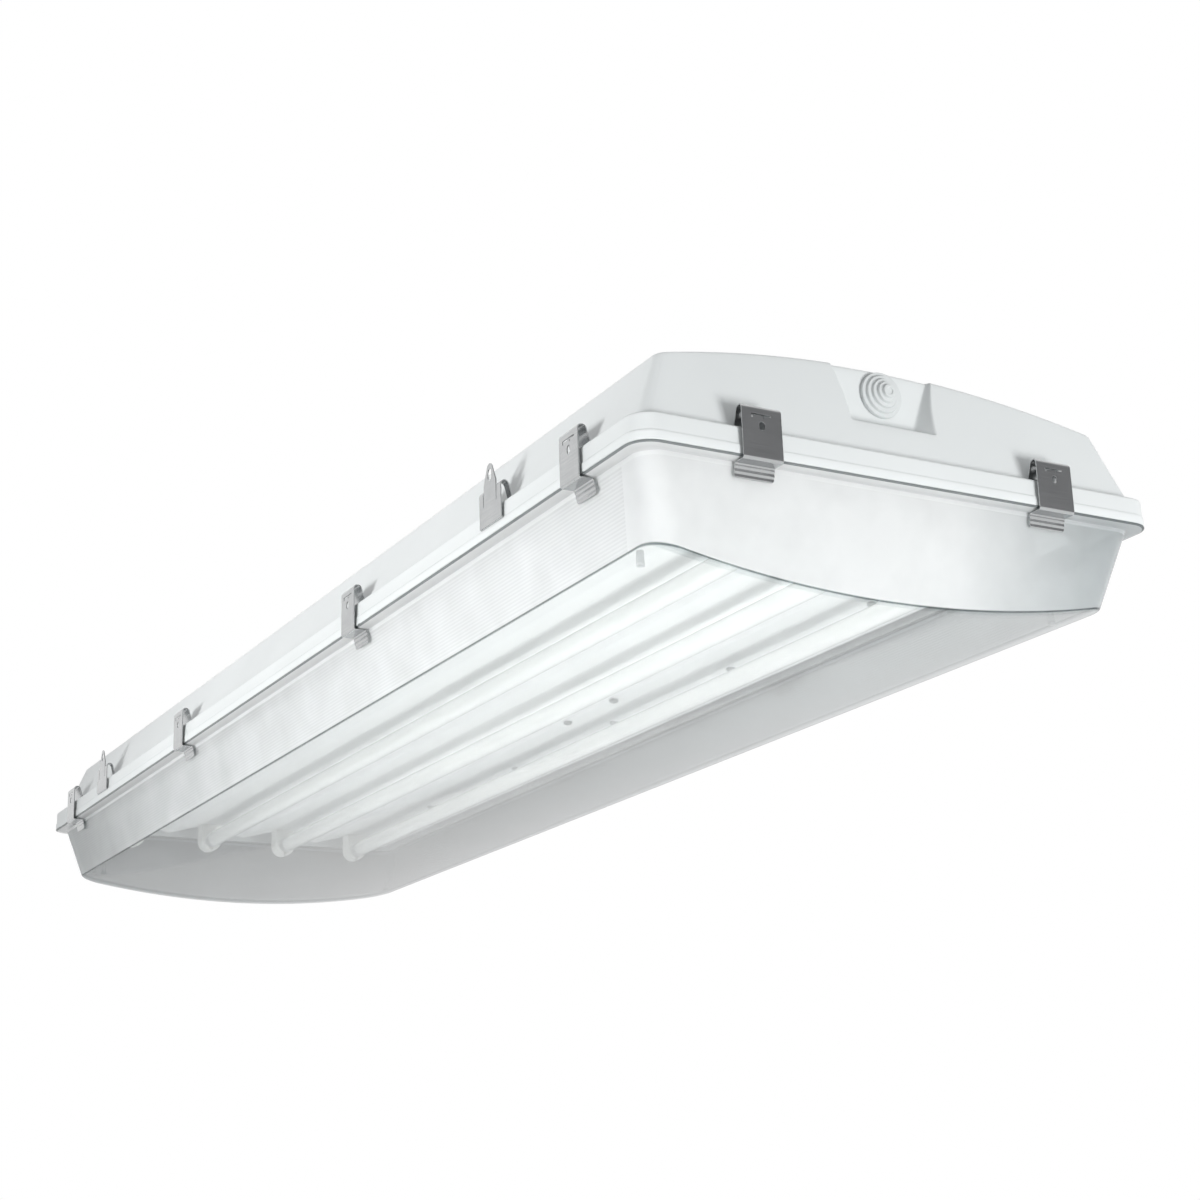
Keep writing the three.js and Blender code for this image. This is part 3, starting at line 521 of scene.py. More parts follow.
def housingHalf(columns, margin):
    # one face of the shell, from the ridge of the crown down to the foot of the wall
    h = housing
    crownCount, wallCount = h["rows"]
    top = crownEdge(columns, wallNoPocket, roof, roofEdge, margin)
    edge = wallRow(columns, top, margin)
    crown = crownRows(columns, edge, roofHalf, roof, margin, crownCount)[::-1]
    shelf = h["pocketBottom"] - margin
    shares = np.linspace(0, 1, wallCount + 1)[1:]
    walls = [wallRow(columns, top + (shelf - top) * share, margin) for share in shares]
    rows = [*crown, edge, *walls]
    rows += [wallNoPocket(columns, z, margin) for z in (shelf, shelf - h["shelfFoot"], h["foot"])]
    reaches = [0] * len(crown) + [h["topSoft"]] + [0] * (len(walls) - 1)
    return rows, reaches + [h["shelfSoft"], h["shelfSoft"], 0, h["footSoft"]]


def bossPart(x, y):
    # a stud that grows out of the roof, for a reflector screw
    low, high = housing["bossBottom"], float(roof(np.array(y), -housing["bossSunk"]))
    hole, tip, root = housing["bossRadii"]
    return turned([(low, 0), (low, hole), (low, tip), (high, root), (high, 0)], "z", (x, y, 0), 24)


def housingParts():
    h = housing
    sideCount, endCount, cornerCount = h["columns"]
    columns = planColumns(np.linspace(h["sideShare"], -h["sideShare"], sideCount), endCount, cornerCount)
    outer, outerSoft = housingHalf(columns, 0)
    inner, innerSoft = housingHalf(columns, h["shell"])
    rimRows = [rimRow(columns, inset, z) for inset, z, soft in h["rim"]]
    rimSoft = [soft for inset, z, soft in h["rim"]]
    rows = softRows(outer + rimRows + inner[::-1], outerSoft + rimSoft + innerSoft[::-1])
    return [shell(rows)] + [bossPart(x, y) for x in h["bossX"] for y in (-h["bossY"], h["bossY"])]


addPiece("housingShell", housingParts(), finish["housing"], "fixture", ["housing"], 40)
print("housing made")


# Lens: deep clear tub with fine ribs inside its long walls, hung by a flange with a tongue

lens = {
    "flange": 10,
    "depth": 51.95,
    "lean": (13.2, 12.8),
    "corners": (14, 22),  # plan radius at the flange and at the bottom
    "crown": -18.5,
    "wall": 2.5,
    "mouthWall": 1.9,
    "bottomSoft": 2.4,
    "flangeSoft": 0.8,
    "hollowSoft": 0.15,
    "edgeSoft": 0.2,
    "tongueSoft": 0.6,
    "mouthSoft": 0.3,
    "flangeTop": 1.5,
    "lipSwing": 22.2,  # radius of the lip's hollow about the latch's foot
    "tongue": (4.6, 7.6),
    "tongueTop": 7.7,
    "ribPitch": 2.3,
    "ribHeight": 0.35,
    "ribEnd": (603, 585),  # half length of the ribs at the flange and at the bottom
    "ribFade": 1.5,
    "ribTop": (2, 3),  # depth at which the ribs start, and at which they are whole
    "postX": 572.2,
    "postY": 163.45,
    "postTop": -43.95,
    "postRadii": (2.7, 2.3),
    "postSoft": 0.5,
    "postSunk": 1,
    "sideShares": (0.994, 0.987, 0.955, 0.92),  # columns crowd between the middle two, where the ribs end
    "columns": (14, 31, 56, 10),  # in that crowd, along the rest of a side, across an end, round a corner
    "rows": (14, 12, 93),  # over the bowl, up the outer face of the wall, up its ribbed inner face
}
bowlHalf = rim["halfWidth"] - lens["flange"] - lens["lean"][1]


def bowl(y, offset):
    return crownHeight(y, -lens["depth"], lens["crown"], bowlHalf, offset)


def lensRow(columns, z, margin):
    z = z + 0 * columns["x"]
    share = -z / lens["depth"]
    halfX = rim["halfLength"] - lens["flange"] - share * lens["lean"][0] - margin
    halfY = rim["halfWidth"] - lens["flange"] - share * lens["lean"][1] - margin
    corner = lens["corners"][0] + share * (lens["corners"][1] - lens["corners"][0]) - margin
    return planRow(columns, halfX, halfY, corner, z)


def addRibs(columns, row):
    # saw-tooth ribs by depth, faded out at their slanting ends and at the top of the wall
    depth = -row[:, 2]
    top, bottom = lens["ribEnd"]
    start, whole = lens["ribTop"]
    last = top + (bottom - top) * depth / lens["depth"]
    fade = np.clip((last - np.abs(row[:, 0])) / lens["ribFade"], 0, 1)
    fade *= np.clip((depth - start) / (whole - start), 0, 1)
    tooth = np.abs((depth / lens["ribPitch"]) % 1 - 0.5) * 2
    row[:, 1] -= np.sign(row[:, 1]) * lens["ribHeight"] * fade * tooth * columns["side"]


def lensHalf(columns, margin, wallCount):
    # one face of the tub, from the lowest line of the bowl up to the flange
    top = crownEdge(columns, lensRow, bowl, -lens["depth"], margin)
    edge = lensRow(columns, top, margin)
    walls = [lensRow(columns, top * (1 - share), margin) for share in np.linspace(0, 1, wallCount + 1)[1:]]
    low = crownRows(columns, edge, bowlHalf, bowl, margin, lens["rows"][0])[::-1]
    return [*low, edge], walls, [0] * len(low) + [lens["bottomSoft"]] + [0] * len(walls)


def flangeProfile():
    # inset, height and softness: the hollow that clears the latches, the outer edge, the top and the tongue
    axisInset, axisHeight = rim["latchFoot"]
    swing, top, tip = lens["lipSwing"], lens["flangeTop"], lens["tongueTop"]
    near, far = lens["tongue"]
    angles = np.linspace(0, asin(axisInset / swing), 6)
    hollow = [(axisInset - swing * sin(a), axisHeight - swing * cos(a), 0) for a in angles]
    small, large = lens["edgeSoft"], lens["tongueSoft"]
    edge = [(0, hollow[-1][1], lens["hollowSoft"]), (0, top, small)]
    tongue = [(near, top, small), (near, tip, large), (far, tip, large), (far, top, small)]
    return hollow[:-1] + edge + tongue


def postPart(x, y):
    # a short post that rises from the bowl near a corner
    foot, top = float(bowl(np.array(y), -lens["postSunk"])), lens["postTop"]
    wide, narrow = lens["postRadii"]
    profile = [np.array(p, float) for p in [(foot, 0), (foot, wide), (top, narrow), (top, 0)]]
    return turned(softRows(profile, [0, 0, lens["postSoft"], 0]), "z", (x, y, 0), 24)


def lensParts():
    fineCount, sideCount, endCount, cornerCount = lens["columns"]
    last, fineEnd, fineStart, plain = lens["sideShares"]
    fine = np.linspace(fineStart, fineEnd, fineCount)
    along = np.concatenate([[last], fine[::-1], np.linspace(plain, -plain, sideCount), -fine, [-last]])
    columns = planColumns(along, endCount, cornerCount)
    outerLow, outerWalls, outerSoft = lensHalf(columns, 0, lens["rows"][1])
    innerLow, innerWalls, innerSoft = lensHalf(columns, lens["wall"], lens["rows"][2])
    for row in innerWalls:
        addRibs(columns, row)
    outerSoft[-1] = lens["flangeSoft"]
    flange = flangeProfile()
    flangeRows = [rimRow(columns, inset, z) for inset, z, soft in flange]
    flangeRows.append(lensRow(columns, lens["flangeTop"], lens["mouthWall"]))
    flangeSoft = [soft for inset, z, soft in flange] + [lens["mouthSoft"]]
    rows = outerLow + outerWalls + flangeRows + (innerLow + innerWalls)[::-1]
    tub = shell(softRows(rows, outerSoft + flangeSoft + innerSoft[::-1]))
    places = [(x, y) for x in (-lens["postX"], lens["postX"]) for y in (-lens["postY"], lens["postY"])]
    return [tub] + [postPart(x, y) for x, y in places]


clearLook = {
    "clear": (0.965, 0.975, 0.975),
    "edge": (0.74, 0.77, 0.775),  # seen along the sheet, where the light passes through more plastic
    "edgeFacing": (0.75, 1),
    "inner": (0.12, 0.15, 0.165),  # painted shade: what the walls' inner faces let through at the far end
    "nearPaintedShade": 0.14,  # share of that shade at the near end
    "paintedShadeRun": (-500, 300),
    "corner": (0.22, 0.25, 0.26),  # painted shade: what the rounded bottom edge lets through, a dark line along it
    "edgeShadeHeights": (-47, -45),
    "margin": (0.84, 0.86, 0.865),  # painted shade: what the bowl lets through along both end walls
    "shadedBandWidth": 10.8,
    "shadedBandFade": 2,
    "milk": (0.88, 0.89, 0.89),
    "sideMilkShade": (0.61, 0.64, 0.65),  # painted shade: darker milk towards the side away from the camera
    "sideShadeRun": (40, 170),
    # painted shade: darker milk on the walls' inner faces, by the same mask
    "innerMilkShade": (0.4, 0.44, 0.46),
    "seam": (0.32, 0.34, 0.345),  # thin dark line of the joint
    "seamHeight": 1,
    "seamHalf": 0.55,
    "cloud": 16,
    "haze": (0.01, 0.05),
    "wallHaze": (0.84, 0.97),
    "flangeHaze": 0.8,
    "flangeHeights": (-3, -1.5),
    "farHaze": 0.5,  # share of the walls' haze that is left at the far end
    "hazeRun": (-640, 550),
    "sideHaze": 0.6,  # share of it that is left at the side away from the camera
    "sideHazeRun": (50, 150),
    "ribHaze": 0.14,
    "ribLeast": 0.25,
    "ribSoft": 0.5,
    "wallTurn": (0.45, 0.6),  # upright part of the normal, where the wall turns into the bottom edge
    "edgeTurn": (0.75, 0.93),  # the same, where the bottom edge turns into the bowl
    "bowlTurn": (0.6, 0.8),
    "sideTurn": (0.75, 0.85),  # the normal's part across, on the long walls
    "innerTurn": (-50, 50),
    "gloss": 0.04,
    "index": 1.49,
}


def ribLines(tree, length, height, wayY):
    # level lines on the long walls, sin(2 pi z / pitch), between the ribs' slanting ends
    top, bottom = lens["ribEnd"]
    start, whole = lens["ribTop"]
    wave = calculate(tree, "SINE", times(tree, height, 2 * pi / (lens["ribPitch"] * mm)))
    reach = calculate(tree, "SUBTRACT", length, times(tree, height, (top - bottom) / lens["depth"]))
    onSide = spread(tree, calculate(tree, "ABSOLUTE", wayY), 0, 1, *clearLook["sideTurn"])
    soft = clearLook["ribSoft"]
    inRun = ramp(tree, reach, (top - soft, top + soft), 1, 0)
    below = ramp(tree, height, (-whole, -start), 1, 0)
    return times(tree, spread(tree, wave, clearLook["ribLeast"], 1, -1, 1), onSide, inRun, below)


def tubMasks(tree, place, normal):
    # masks from 0 to 1, by where a point p of the tub lies and which way its normal n looks
    look = clearLook
    length, side, height = axesOf(tree, place)
    wayX, wayY, wayZ = axesOf(tree, normal)
    level = calculate(tree, "ABSOLUTE", wayZ)
    fromMiddle = calculate(tree, "ABSOLUTE", length)
    walls = spread(tree, level, 1, 0, *look["wallTurn"])
    notWall = spread(tree, level, 0, 1, *look["wallTurn"])
    notBowl = spread(tree, level, 1, 0, *look["edgeTurn"])
    # painted shade: mask of the rounded bottom edge, where a dark line is painted
    corner = times(tree, notWall, notBowl, ramp(tree, height, look["edgeShadeHeights"], 1, 0))
    # inner faces look back at the middle of the tub, so p . n is negative there
    out = calculate(tree, "ADD", times(tree, length, wayX), times(tree, side, wayY))
    inner = times(tree, ramp(tree, out, look["innerTurn"], 1, 0), walls)
    # painted shade: the inner-face mask is whole at the far end and fades towards the near end
    inner = times(tree, inner, ramp(tree, length, look["paintedShadeRun"], 1, look["nearPaintedShade"]))
    # painted shade: a darker band of the bowl along both end walls
    start = rim["halfLength"] - lens["flange"] - lens["lean"][0] - look["shadedBandWidth"]
    margin = ramp(tree, fromMiddle, (start, start + look["shadedBandFade"]), 0, 1)
    margin = times(tree, margin, spread(tree, level, 0, 1, *look["bowlTurn"]))
    seam = calculate(tree, "COMPARE", height, look["seamHeight"] * mm)
    seam.node.inputs[2].default_value = look["seamHalf"] * mm
    ribs = ribLines(tree, fromMiddle, height, wayY)
    return {"length": length, "side": side, "height": height, "walls": walls, "corner": corner,
            "inner": inner, "margin": margin, "seam": seam, "ribs": ribs}


def tubHaze(tree, place, masks):
    # share of milky plastic: faint all over, strong in the walls and the flange; the walls' haze thins out
    # towards the far end and one side, and in fine lines at the ribs
    look = clearLook
    cloud = noise(tree, place, look["cloud"], 3)
    along = ramp(tree, masks["length"], look["hazeRun"], look["farHaze"], 1)
    across = ramp(tree, masks["side"], look["sideHazeRun"], 1, look["sideHaze"])
    lines = calculate(tree, "SUBTRACT", 1, times(tree, masks["ribs"], look["ribHaze"]))
    walls = times(tree, masks["walls"], along, across, spread(tree, cloud, *look["wallHaze"]), lines)
    haze = calculate(tree, "ADD", spread(tree, cloud, *look["haze"]), walls)
    flange = ramp(tree, masks["height"], look["flangeHeights"], 0, look["flangeHaze"])
    return calculate(tree, "ADD", haze, flange, True)


def clearPlastic():
    # see-through plastic mixed with milky plastic by the haze, under a gloss by Fresnel
    look = clearLook
    material = bpy.data.materials.new("clearPlastic")
    material.use_nodes = True
    tree = material.node_tree
    tree.nodes.remove(tree.nodes["Principled BSDF"])
    coordinates = node(tree, "TexCoord")
    place = coordinates.outputs["Object"]
    masks = tubMasks(tree, place, coordinates.outputs["Normal"])
    facing = node(tree, "LayerWeight", in_Blend=0.5).outputs["Facing"]

    passed = tint(tree, facing, look["clear"], look["edge"], *look["edgeFacing"])
    # painted shade: what passes through is darkened on the walls' inner faces towards the far end, along the
    # rounded bottom edge and in a band of the bowl along both end walls
    for name in ("inner", "corner", "margin"):
        passed = filtered(tree, passed, masks[name], look[name])
    through = node(tree, "BsdfTransparent")
    link(tree, passed, through.inputs["Color"])

    # painted shade: the milk darkens towards the side away from the camera
    start, end = look["sideShadeRun"]
    milky = tint(tree, masks["side"], look["milk"], look["sideMilkShade"], start * mm, end * mm)
    # painted shade: the milk of the walls' inner faces is darker towards the far end
    milky = filtered(tree, milky, masks["inner"], look["innerMilkShade"])
    milky = filtered(tree, milky, masks["seam"], look["seam"])
    milkFront, milkBack = node(tree, "BsdfDiffuse"), node(tree, "BsdfTranslucent")
    link(tree, milky, milkFront.inputs["Color"])
    link(tree, milky, milkBack.inputs["Color"])
    milk = mixed(tree, 0.5, milkFront.outputs[0], milkBack.outputs[0])
    body = mixed(tree, tubHaze(tree, place, masks), through.outputs[0], milk)

    # reflectance of either side of the sheet: r + (1 - r) facing^5, with r = ((n - 1) / (n + 1))^2
    least = ((look["index"] - 1) / (look["index"] + 1)) ** 2
    steep = times(tree, calculate(tree, "POWER", facing, 5), 1 - least)
    gloss = node(tree, "BsdfGlossy", in_Roughness=look["gloss"])
    skin = mixed(tree, calculate(tree, "ADD", steep, least), body, gloss.outputs[0])
    link(tree, skin, tree.nodes["Material Output"].inputs["Surface"])
    return material


finish["clear"] = clearPlastic()
addPiece("lensTub", lensParts(), finish["clear"], "fixture", ["lens"], 40)
print("lens made")


# Reflector: white bent sheet, flat over each lamp, ridged between them

reflector = {
    "rise": 8.5,
    "flat": 22.6,
    "pitch": 86,  # from lamp to lamp
    "outerExtra": 6.2,  # how much wider the two outer flats are
    "edgeRun": 25,
    "lip": (1.4, 3.2),
    "sheet": 0.8,
    "halfLength": 593.8,
    "bend": 1.6,
}


def bentStrip(path, halfLength, thick, stations=25):
    # a sheet section in (y, z) carried along x: middle line plus and minus half the thickness on its normal
    way = np.gradient(path, axis=0)
    way /= np.linalg.norm(way, axis=1, keepdims=True)
    normal = np.stack([-way[:, 1], way[:, 0]], 1) * thick / 2
    loop = np.concatenate([path + normal, (path - normal)[::-1]])
    x = np.linspace(-halfLength, halfLength, stations)
    count, half = len(loop), len(path)
    section = [np.repeat(loop[None, :, k], stations, 0) for k in (0, 1)]
    rows = np.stack([np.repeat(x[:, None], count, 1), *section], -1)
    here = np.arange(half - 1)
    cap = np.stack([here, here + 1, count - 2 - here, count - 1 - here], 1)
    last = cap[:, ::-1] + count * (stations - 1)
    points, faces = rows.reshape(-1, 3), gridFaces(stations, count)
    skin = outward(points, [faces])[1][0]
    way = np.cross(points[cap[0, 1]] - points[cap[0, 0]], points[cap[0, 3]] - points[cap[0, 0]])
    cap, last = (cap, last) if way[0] < 0 else (cap[:, ::-1], last[:, ::-1])
    return points, [skin, cap, last]


def reflectorPath():
    r = reflector
    low, high, half = r["sheet"] / 2, r["rise"] + r["sheet"] / 2, r["flat"] / 2
    middle = r["pitch"] * 1.5
    side = [(r["pitch"] / 2 - half, high), (r["pitch"] / 2 + half, high), (r["pitch"], low),
            (middle - half, high), (middle + half + r["outerExtra"], high)]
    edge = side[-1][0] + r["edgeRun"]
    side += [(edge, low), (edge + r["lip"][0], low + r["lip"][1])]
    full = [(-y, z) for y, z in side[::-1]] + [(0, low)] + side
    points = [np.array(p, float) for p in full]
    return softRows(points, [r["bend"]] * len(points), 4)


addPiece("reflectorPan", [bentStrip(reflectorPath(), reflector["halfLength"], reflector["sheet"])],
         finish["reflector"], "fixture", ["reflector"], 50)
print("reflector made")


# Spring steel: flat blanks cut by their outline and holes, then bent along a path

steel = {
    "thick": 0.8,
    "footRadius": 1.1,
    "footChamfer": (0.3, 0.33),  # along the foot and across it
    "bendRadius": 3,
    "bendHeight": 31.1,
    "edge": 0.1,
}
holdOff = 1e-3  # keeps a bend line's ends inside the outline
cutWithin = 1e-4  # nearer points of a blank are one point


def arcPoints(x, z, radius, start, end, steps):
    angle = np.linspace(start, end, steps + 1)
    return np.stack([x + radius * np.cos(angle), z + radius * np.sin(angle)], 1)


def inside(points, loop):
    # a point lies inside a closed loop when a level ray from it crosses the loop an odd number of times
    a, b = loop, np.roll(loop, -1, 0)
    px, py = points[:, :1], points[:, 1:]
    crosses = (a[:, 1] > py) != (b[:, 1] > py)
    rise = np.where(a[:, 1] == b[:, 1], 1, b[:, 1] - a[:, 1])
    at = a[:, 0] + (py - a[:, 1]) / rise * (b[:, 0] - a[:, 0])
    return (crosses & (px < at)).sum(1) % 2 == 1


def cutBlank(outline, holes, lines):
    # flat sheet in (across, along) between its outline, with the holes left open and an edge at each line
    points, edges = [], []
    for loop in [outline, *holes]:
        start = len(points)
        points.extend(loop)
        edges.extend((start + k, start + (k + 1) % len(loop)) for k in range(len(loop)))
    for line in lines:
        edges.append((len(points), len(points) + 1))
        points.extend(line)
    found = delaunay_2d_cdt([Vector(map(float, p)) for p in points], edges, [], 0, cutWithin)
    flat = np.array([tuple(p) for p in found[0]])
    faces = np.array([f for f in found[2] if len(f) == 3])
    middle = flat[faces].mean(1)
    keep = inside(middle, outline)
    for hole in holes:
        keep &= ~inside(middle, hole)
    return flat, faces[keep]


def bendBlank(flat, faces, place, thick):
    # the sheet's two faces lie half a thickness either side of the bent blank, with walls at its free edges
    middle, normal = place(flat[:, 0], flat[:, 1])
    points = np.concatenate([middle + normal * thick / 2, middle - normal * thick / 2])
    count = len(flat)
    edges = np.concatenate([faces[:, [0, 1]], faces[:, [1, 2]], faces[:, [2, 0]]])
    code, back = edges[:, 0] * count + edges[:, 1], edges[:, 1] * count + edges[:, 0]
    free = edges[~np.isin(code, back)]
    walls = np.stack([free[:, 1], free[:, 0], free[:, 0] + count, free[:, 1] + count], 1)
    return outward(points, [faces, faces[:, ::-1] + count, walls])


class Track:
    # a path in (out, up) by distance along it, with its normals
    def __init__(self, points):
        self.points = np.asarray(points, float)
        step = np.linalg.norm(np.diff(self.points, axis=0), axis=1)
        self.reach = np.concatenate([[0], np.cumsum(step)])
        way = np.gradient(self.points, self.reach, axis=0)
        self.normals = np.stack([way[:, 1], -way[:, 0]], 1)

    def at(self, across, along):
        out, up = (np.interp(along, self.reach, self.points[:, k]) for k in (0, 1))
        nOut, nUp = (np.interp(along, self.reach, self.normals[:, k]) for k in (0, 1))
        size = np.maximum(np.hypot(nOut, nUp), tiny)
        return np.stack([out, across, up], 1), np.stack([nOut / size, 0 * across, nUp / size], 1)


def legPoints(stand):
    # back leg from its foot and the bend over the top, ending at the head of the front plate
    footInset, footHeight = rim["latchFoot"]
    bendX = stand - steel["bendRadius"]
    runX, runZ = bendX + footInset, steel["bendHeight"] - footHeight
    lean = atan2(runZ, runX) + asin(steel["bendRadius"] / hypot(runX, runZ))
    bend = arcPoints(bendX, steel["bendHeight"], steel["bendRadius"], lean + pi / 2, 0, 10)
    return np.concatenate([[(-footInset, footHeight)], bend])


def footRod(half, y=0):
    # the rolled foot, with chamfered ends
    radius = steel["footRadius"]
    along, across = steel["footChamfer"]
    ends = [(-half, 0), (-half, radius - across), (along - half, radius)]
    ends += [(-place, r) for place, r in ends[::-1]]
    footInset, footHeight = rim["latchFoot"]
    return turned(ends, "y", (-footInset, y, footHeight), 16)


def placed(part, x, y, turn):
    # from the drawing that faces +X to its place on the rim
    points, faces = part
    out, across, up = points.T
    c, s = cos(turn), sin(turn)
    return np.stack([out * c - across * s + x, out * s + across * c + y, up], 1), faces


latch = {
    "stand": 2.2,  # how far the front plate stands off the rim
    "topCorner": 2,
    "rollRadius": 1.7,
    "rollHeight": 0.5,
    "hookRise": 0.2,
    "hookInset": 6.6,
    "tabBend": 1.6,
    "tabLean": pi / 15,
    "tabDrop": 8.2,
    "tabCorner": 2.2,
    "tabWave": 0.16,
    "tabWaves": 2.5,
    "slot": (15, 1.2, 28),  # width, height and place of the cut under the head
    "leg": (1.5, 2.2, 0.12),  # width and length of its legs, and the share of its width where one stands
    "hole": (4.2, 5.8, 20.8),
    "sideWidth": 24.5,
    "endWidth": 29,
    "sideX": (-560, -202.88, 202.88, 560),
    "endY": 115,
}


def ovalPoints(width, length, z):
    # round-ended hole in (across, height), standing upright
    reach = (length - width) / 2
    upper = arcPoints(0, z + reach, width / 2, 0, pi, 8)
    lower = arcPoints(0, z - reach, width / 2, pi, 2 * pi, 8)
    return np.concatenate([upper, lower])


def cornered(half, radius, fromEnd):
    # half width, rounded off at distances d below r from the end: half - r + sqrt(r^2 - (r - d)^2)
    into = np.clip(radius - fromEnd, 0, radius)
    return half - radius + np.sqrt(radius**2 - into**2)


def slotPoints():
    # the cut under the head: a level slot with a leg down at one end and one near its middle
    run, rise, at = latch["slot"]
    wide, drop, share = latch["leg"]
    end, top, under, foot = run / 2, at + rise / 2, at - rise / 2, at - drop
    right, left = share * run + wide / 2, share * run - wide / 2
    middleLeg = [(right, under), (right, foot), (left, foot), (left, under)]
    endLeg = [(wide - end, under), (wide - end, foot), (-end, foot)]
    return [(-end, top), (end, top), (end, under), *middleLeg, *endLeg]


def latchParts(wide):
    k = latch
    leg = legPoints(k["stand"])
    roll = arcPoints(k["stand"] - k["rollRadius"], k["rollHeight"], k["rollRadius"], 0, -pi / 2, 10)
    bendTop = k["rollHeight"] - k["rollRadius"] + k["hookRise"]
    bend = arcPoints(-k["hookInset"], bendTop - k["tabBend"], k["tabBend"], pi / 2, pi - k["tabLean"], 8)
    # the tab runs straight down, pressed into level waves: wave sin(2 pi waves t)
    turn = 1.5 * pi - k["tabLean"]
    t = np.linspace(0, 1, 31)[1:, None]
    tab = bend[-1] + t * k["tabDrop"] * np.array([cos(turn), sin(turn)])
    tab += k["tabWave"] * np.sin(2 * pi * k["tabWaves"] * t) * np.array([-sin(turn), cos(turn)])
    path = np.concatenate([leg, roll, bend, tab])
    track = Track(path)
    half, up = wide / 2, path[:, 1]
    top = steel["bendHeight"] + steel["bendRadius"] + steel["thick"]
    width = cornered(half, k["topCorner"], top - up)
    width[-len(tab):] = cornered(half, k["tabCorner"], tab[:, 1] - tab[-1, 1])
    outline = np.concatenate([np.stack([width, track.reach], 1), np.stack([-width, track.reach], 1)[::-1]])
    lines = [((holdOff - w, s), (w - holdOff, s)) for w, s in zip(width[1:-1], track.reach[1:-1])]
    # holes are given by height; along the plate the distance runs down from its head
    head = track.reach[len(leg) - 1] + steel["bendHeight"]
    holes = [np.array([(y, head - z) for y, z in loop]) for loop in (slotPoints(), ovalPoints(*k["hole"]))]
    flat, faces = cutBlank(outline, holes, lines)
    return [bendBlank(flat, faces, track.at, steel["thick"]), footRod(half)]


def latchPlaces():
    # name, place, turn and width of each latch
    places = []
    for row, y, turn in (("a", -rim["halfWidth"], -pi / 2), ("b", rim["halfWidth"], pi / 2)):
        for i, x in enumerate(latch["sideX"], 1):
            places.append(("latch_side_%s%d" % (row, i), x, y, turn, latch["sideWidth"]))
    for end, x, turn in (("near", rim["halfLength"], 0), ("far", -rim["halfLength"], pi)):
        for i, y in enumerate((-latch["endY"], latch["endY"]), 1):
            places.append(("latch_%s_end_%d" % (end, i), x, y, turn, latch["endWidth"]))
    return places


drawnLatch = {wide: latchParts(wide) for wide in (latch["sideWidth"], latch["endWidth"])}
for name, x, y, turn, wide in latchPlaces():
    parts = [placed(part, x, y, turn) for part in drawnLatch[wide]]
    addPiece(name + "_strip", parts, finish["steel"], name, [name], 35, steel["edge"])
print("latches made")


hanger = {
    "width": 32,
    "stand": 1.6,
    "strip": 6,  # width of the two strips beside the tongue
    "bottom": 8,
    "lipRadius": 0.8,
    "lipStart": 0.3,
    "slit": 1,
    "slitBottom": 22,
    "tongueBase": 36.8,
    "tongueTip": 50.8,
    "tipRadius": 4.2,
    "taper": pi / 12,
    "hole": (5.2, 8.4, 42.8),
    "x": 448,
}


def hangerParts():
    k = hanger
    half, stand = k["width"] / 2, k["stand"]
    lipZ = k["bottom"] + k["lipRadius"]
    lip = arcPoints(stand - k["lipRadius"], lipZ, k["lipRadius"], -pi / 2, 0, 8)
    lower = np.concatenate([[(k["lipStart"], k["bottom"])], lip, [(stand, k["slitBottom"])]])
    strips = Track(np.concatenate([lower, legPoints(stand)[::-1]]))
    tongue = Track(np.concatenate([lower, [(stand, k["tongueTip"])]]))
    tongueHalf = half - k["strip"] - k["slit"]

    def along(z):
        return tongue.reach[len(lower) - 1] + z - k["slitBottom"]

    inner, fork, last = half - k["strip"], along(k["slitBottom"]), strips.reach[-1]
    tip = arcPoints(0, k["tongueTip"] - k["tipRadius"], k["tipRadius"], k["taper"], pi / 2, 8)
    right = [(half, 0), (half, fork), (half, last), (inner, last), (inner, fork), (tongueHalf, fork)]
    right.append((tongueHalf, along(k["tongueBase"])))
    right += [(y, along(z)) for y, z in tip]
    outline = np.array(right + [(-y, s) for y, s in right[-2::-1]])
    lines = [((-half, s), (half, s)) for s in tongue.reach[1 : len(lower)]]
    for s in strips.reach[len(lower) : -1]:
        lines += [((inner, s), (half, s)), ((-half, s), (-inner, s))]
    hole = np.array([(y, along(z)) for y, z in ovalPoints(*k["hole"])])
    flat, faces = cutBlank(outline, [hole], lines)

    def place(across, along):
        onStrip = (np.abs(across) > (tongueHalf + inner) / 2)[:, None]
        a, b = strips.at(across, along), tongue.at(across, along)
        return np.where(onStrip, a[0], b[0]), np.where(onStrip, a[1], b[1])

    rods = [footRod(k["strip"] / 2, side * (half - k["strip"] / 2)) for side in (-1, 1)]
    return [bendBlank(flat, faces, place, steel["thick"]), *rods]


drawnHanger = hangerParts()
for row, way in (("a", -1), ("b", 1)):
    for end, x in (("far", -hanger["x"]), ("near", hanger["x"])):
        name = "hanger_%s_%s" % (row, end)
        parts = [placed(part, x, way * rim["halfWidth"], way * pi / 2) for part in drawnHanger]
        addPiece(name + "_strip", parts, finish["steel"], "fixture", [name], 35, steel["edge"])
print("hangers made")


# Lamps: tube, metal caps with two pins, and their holders

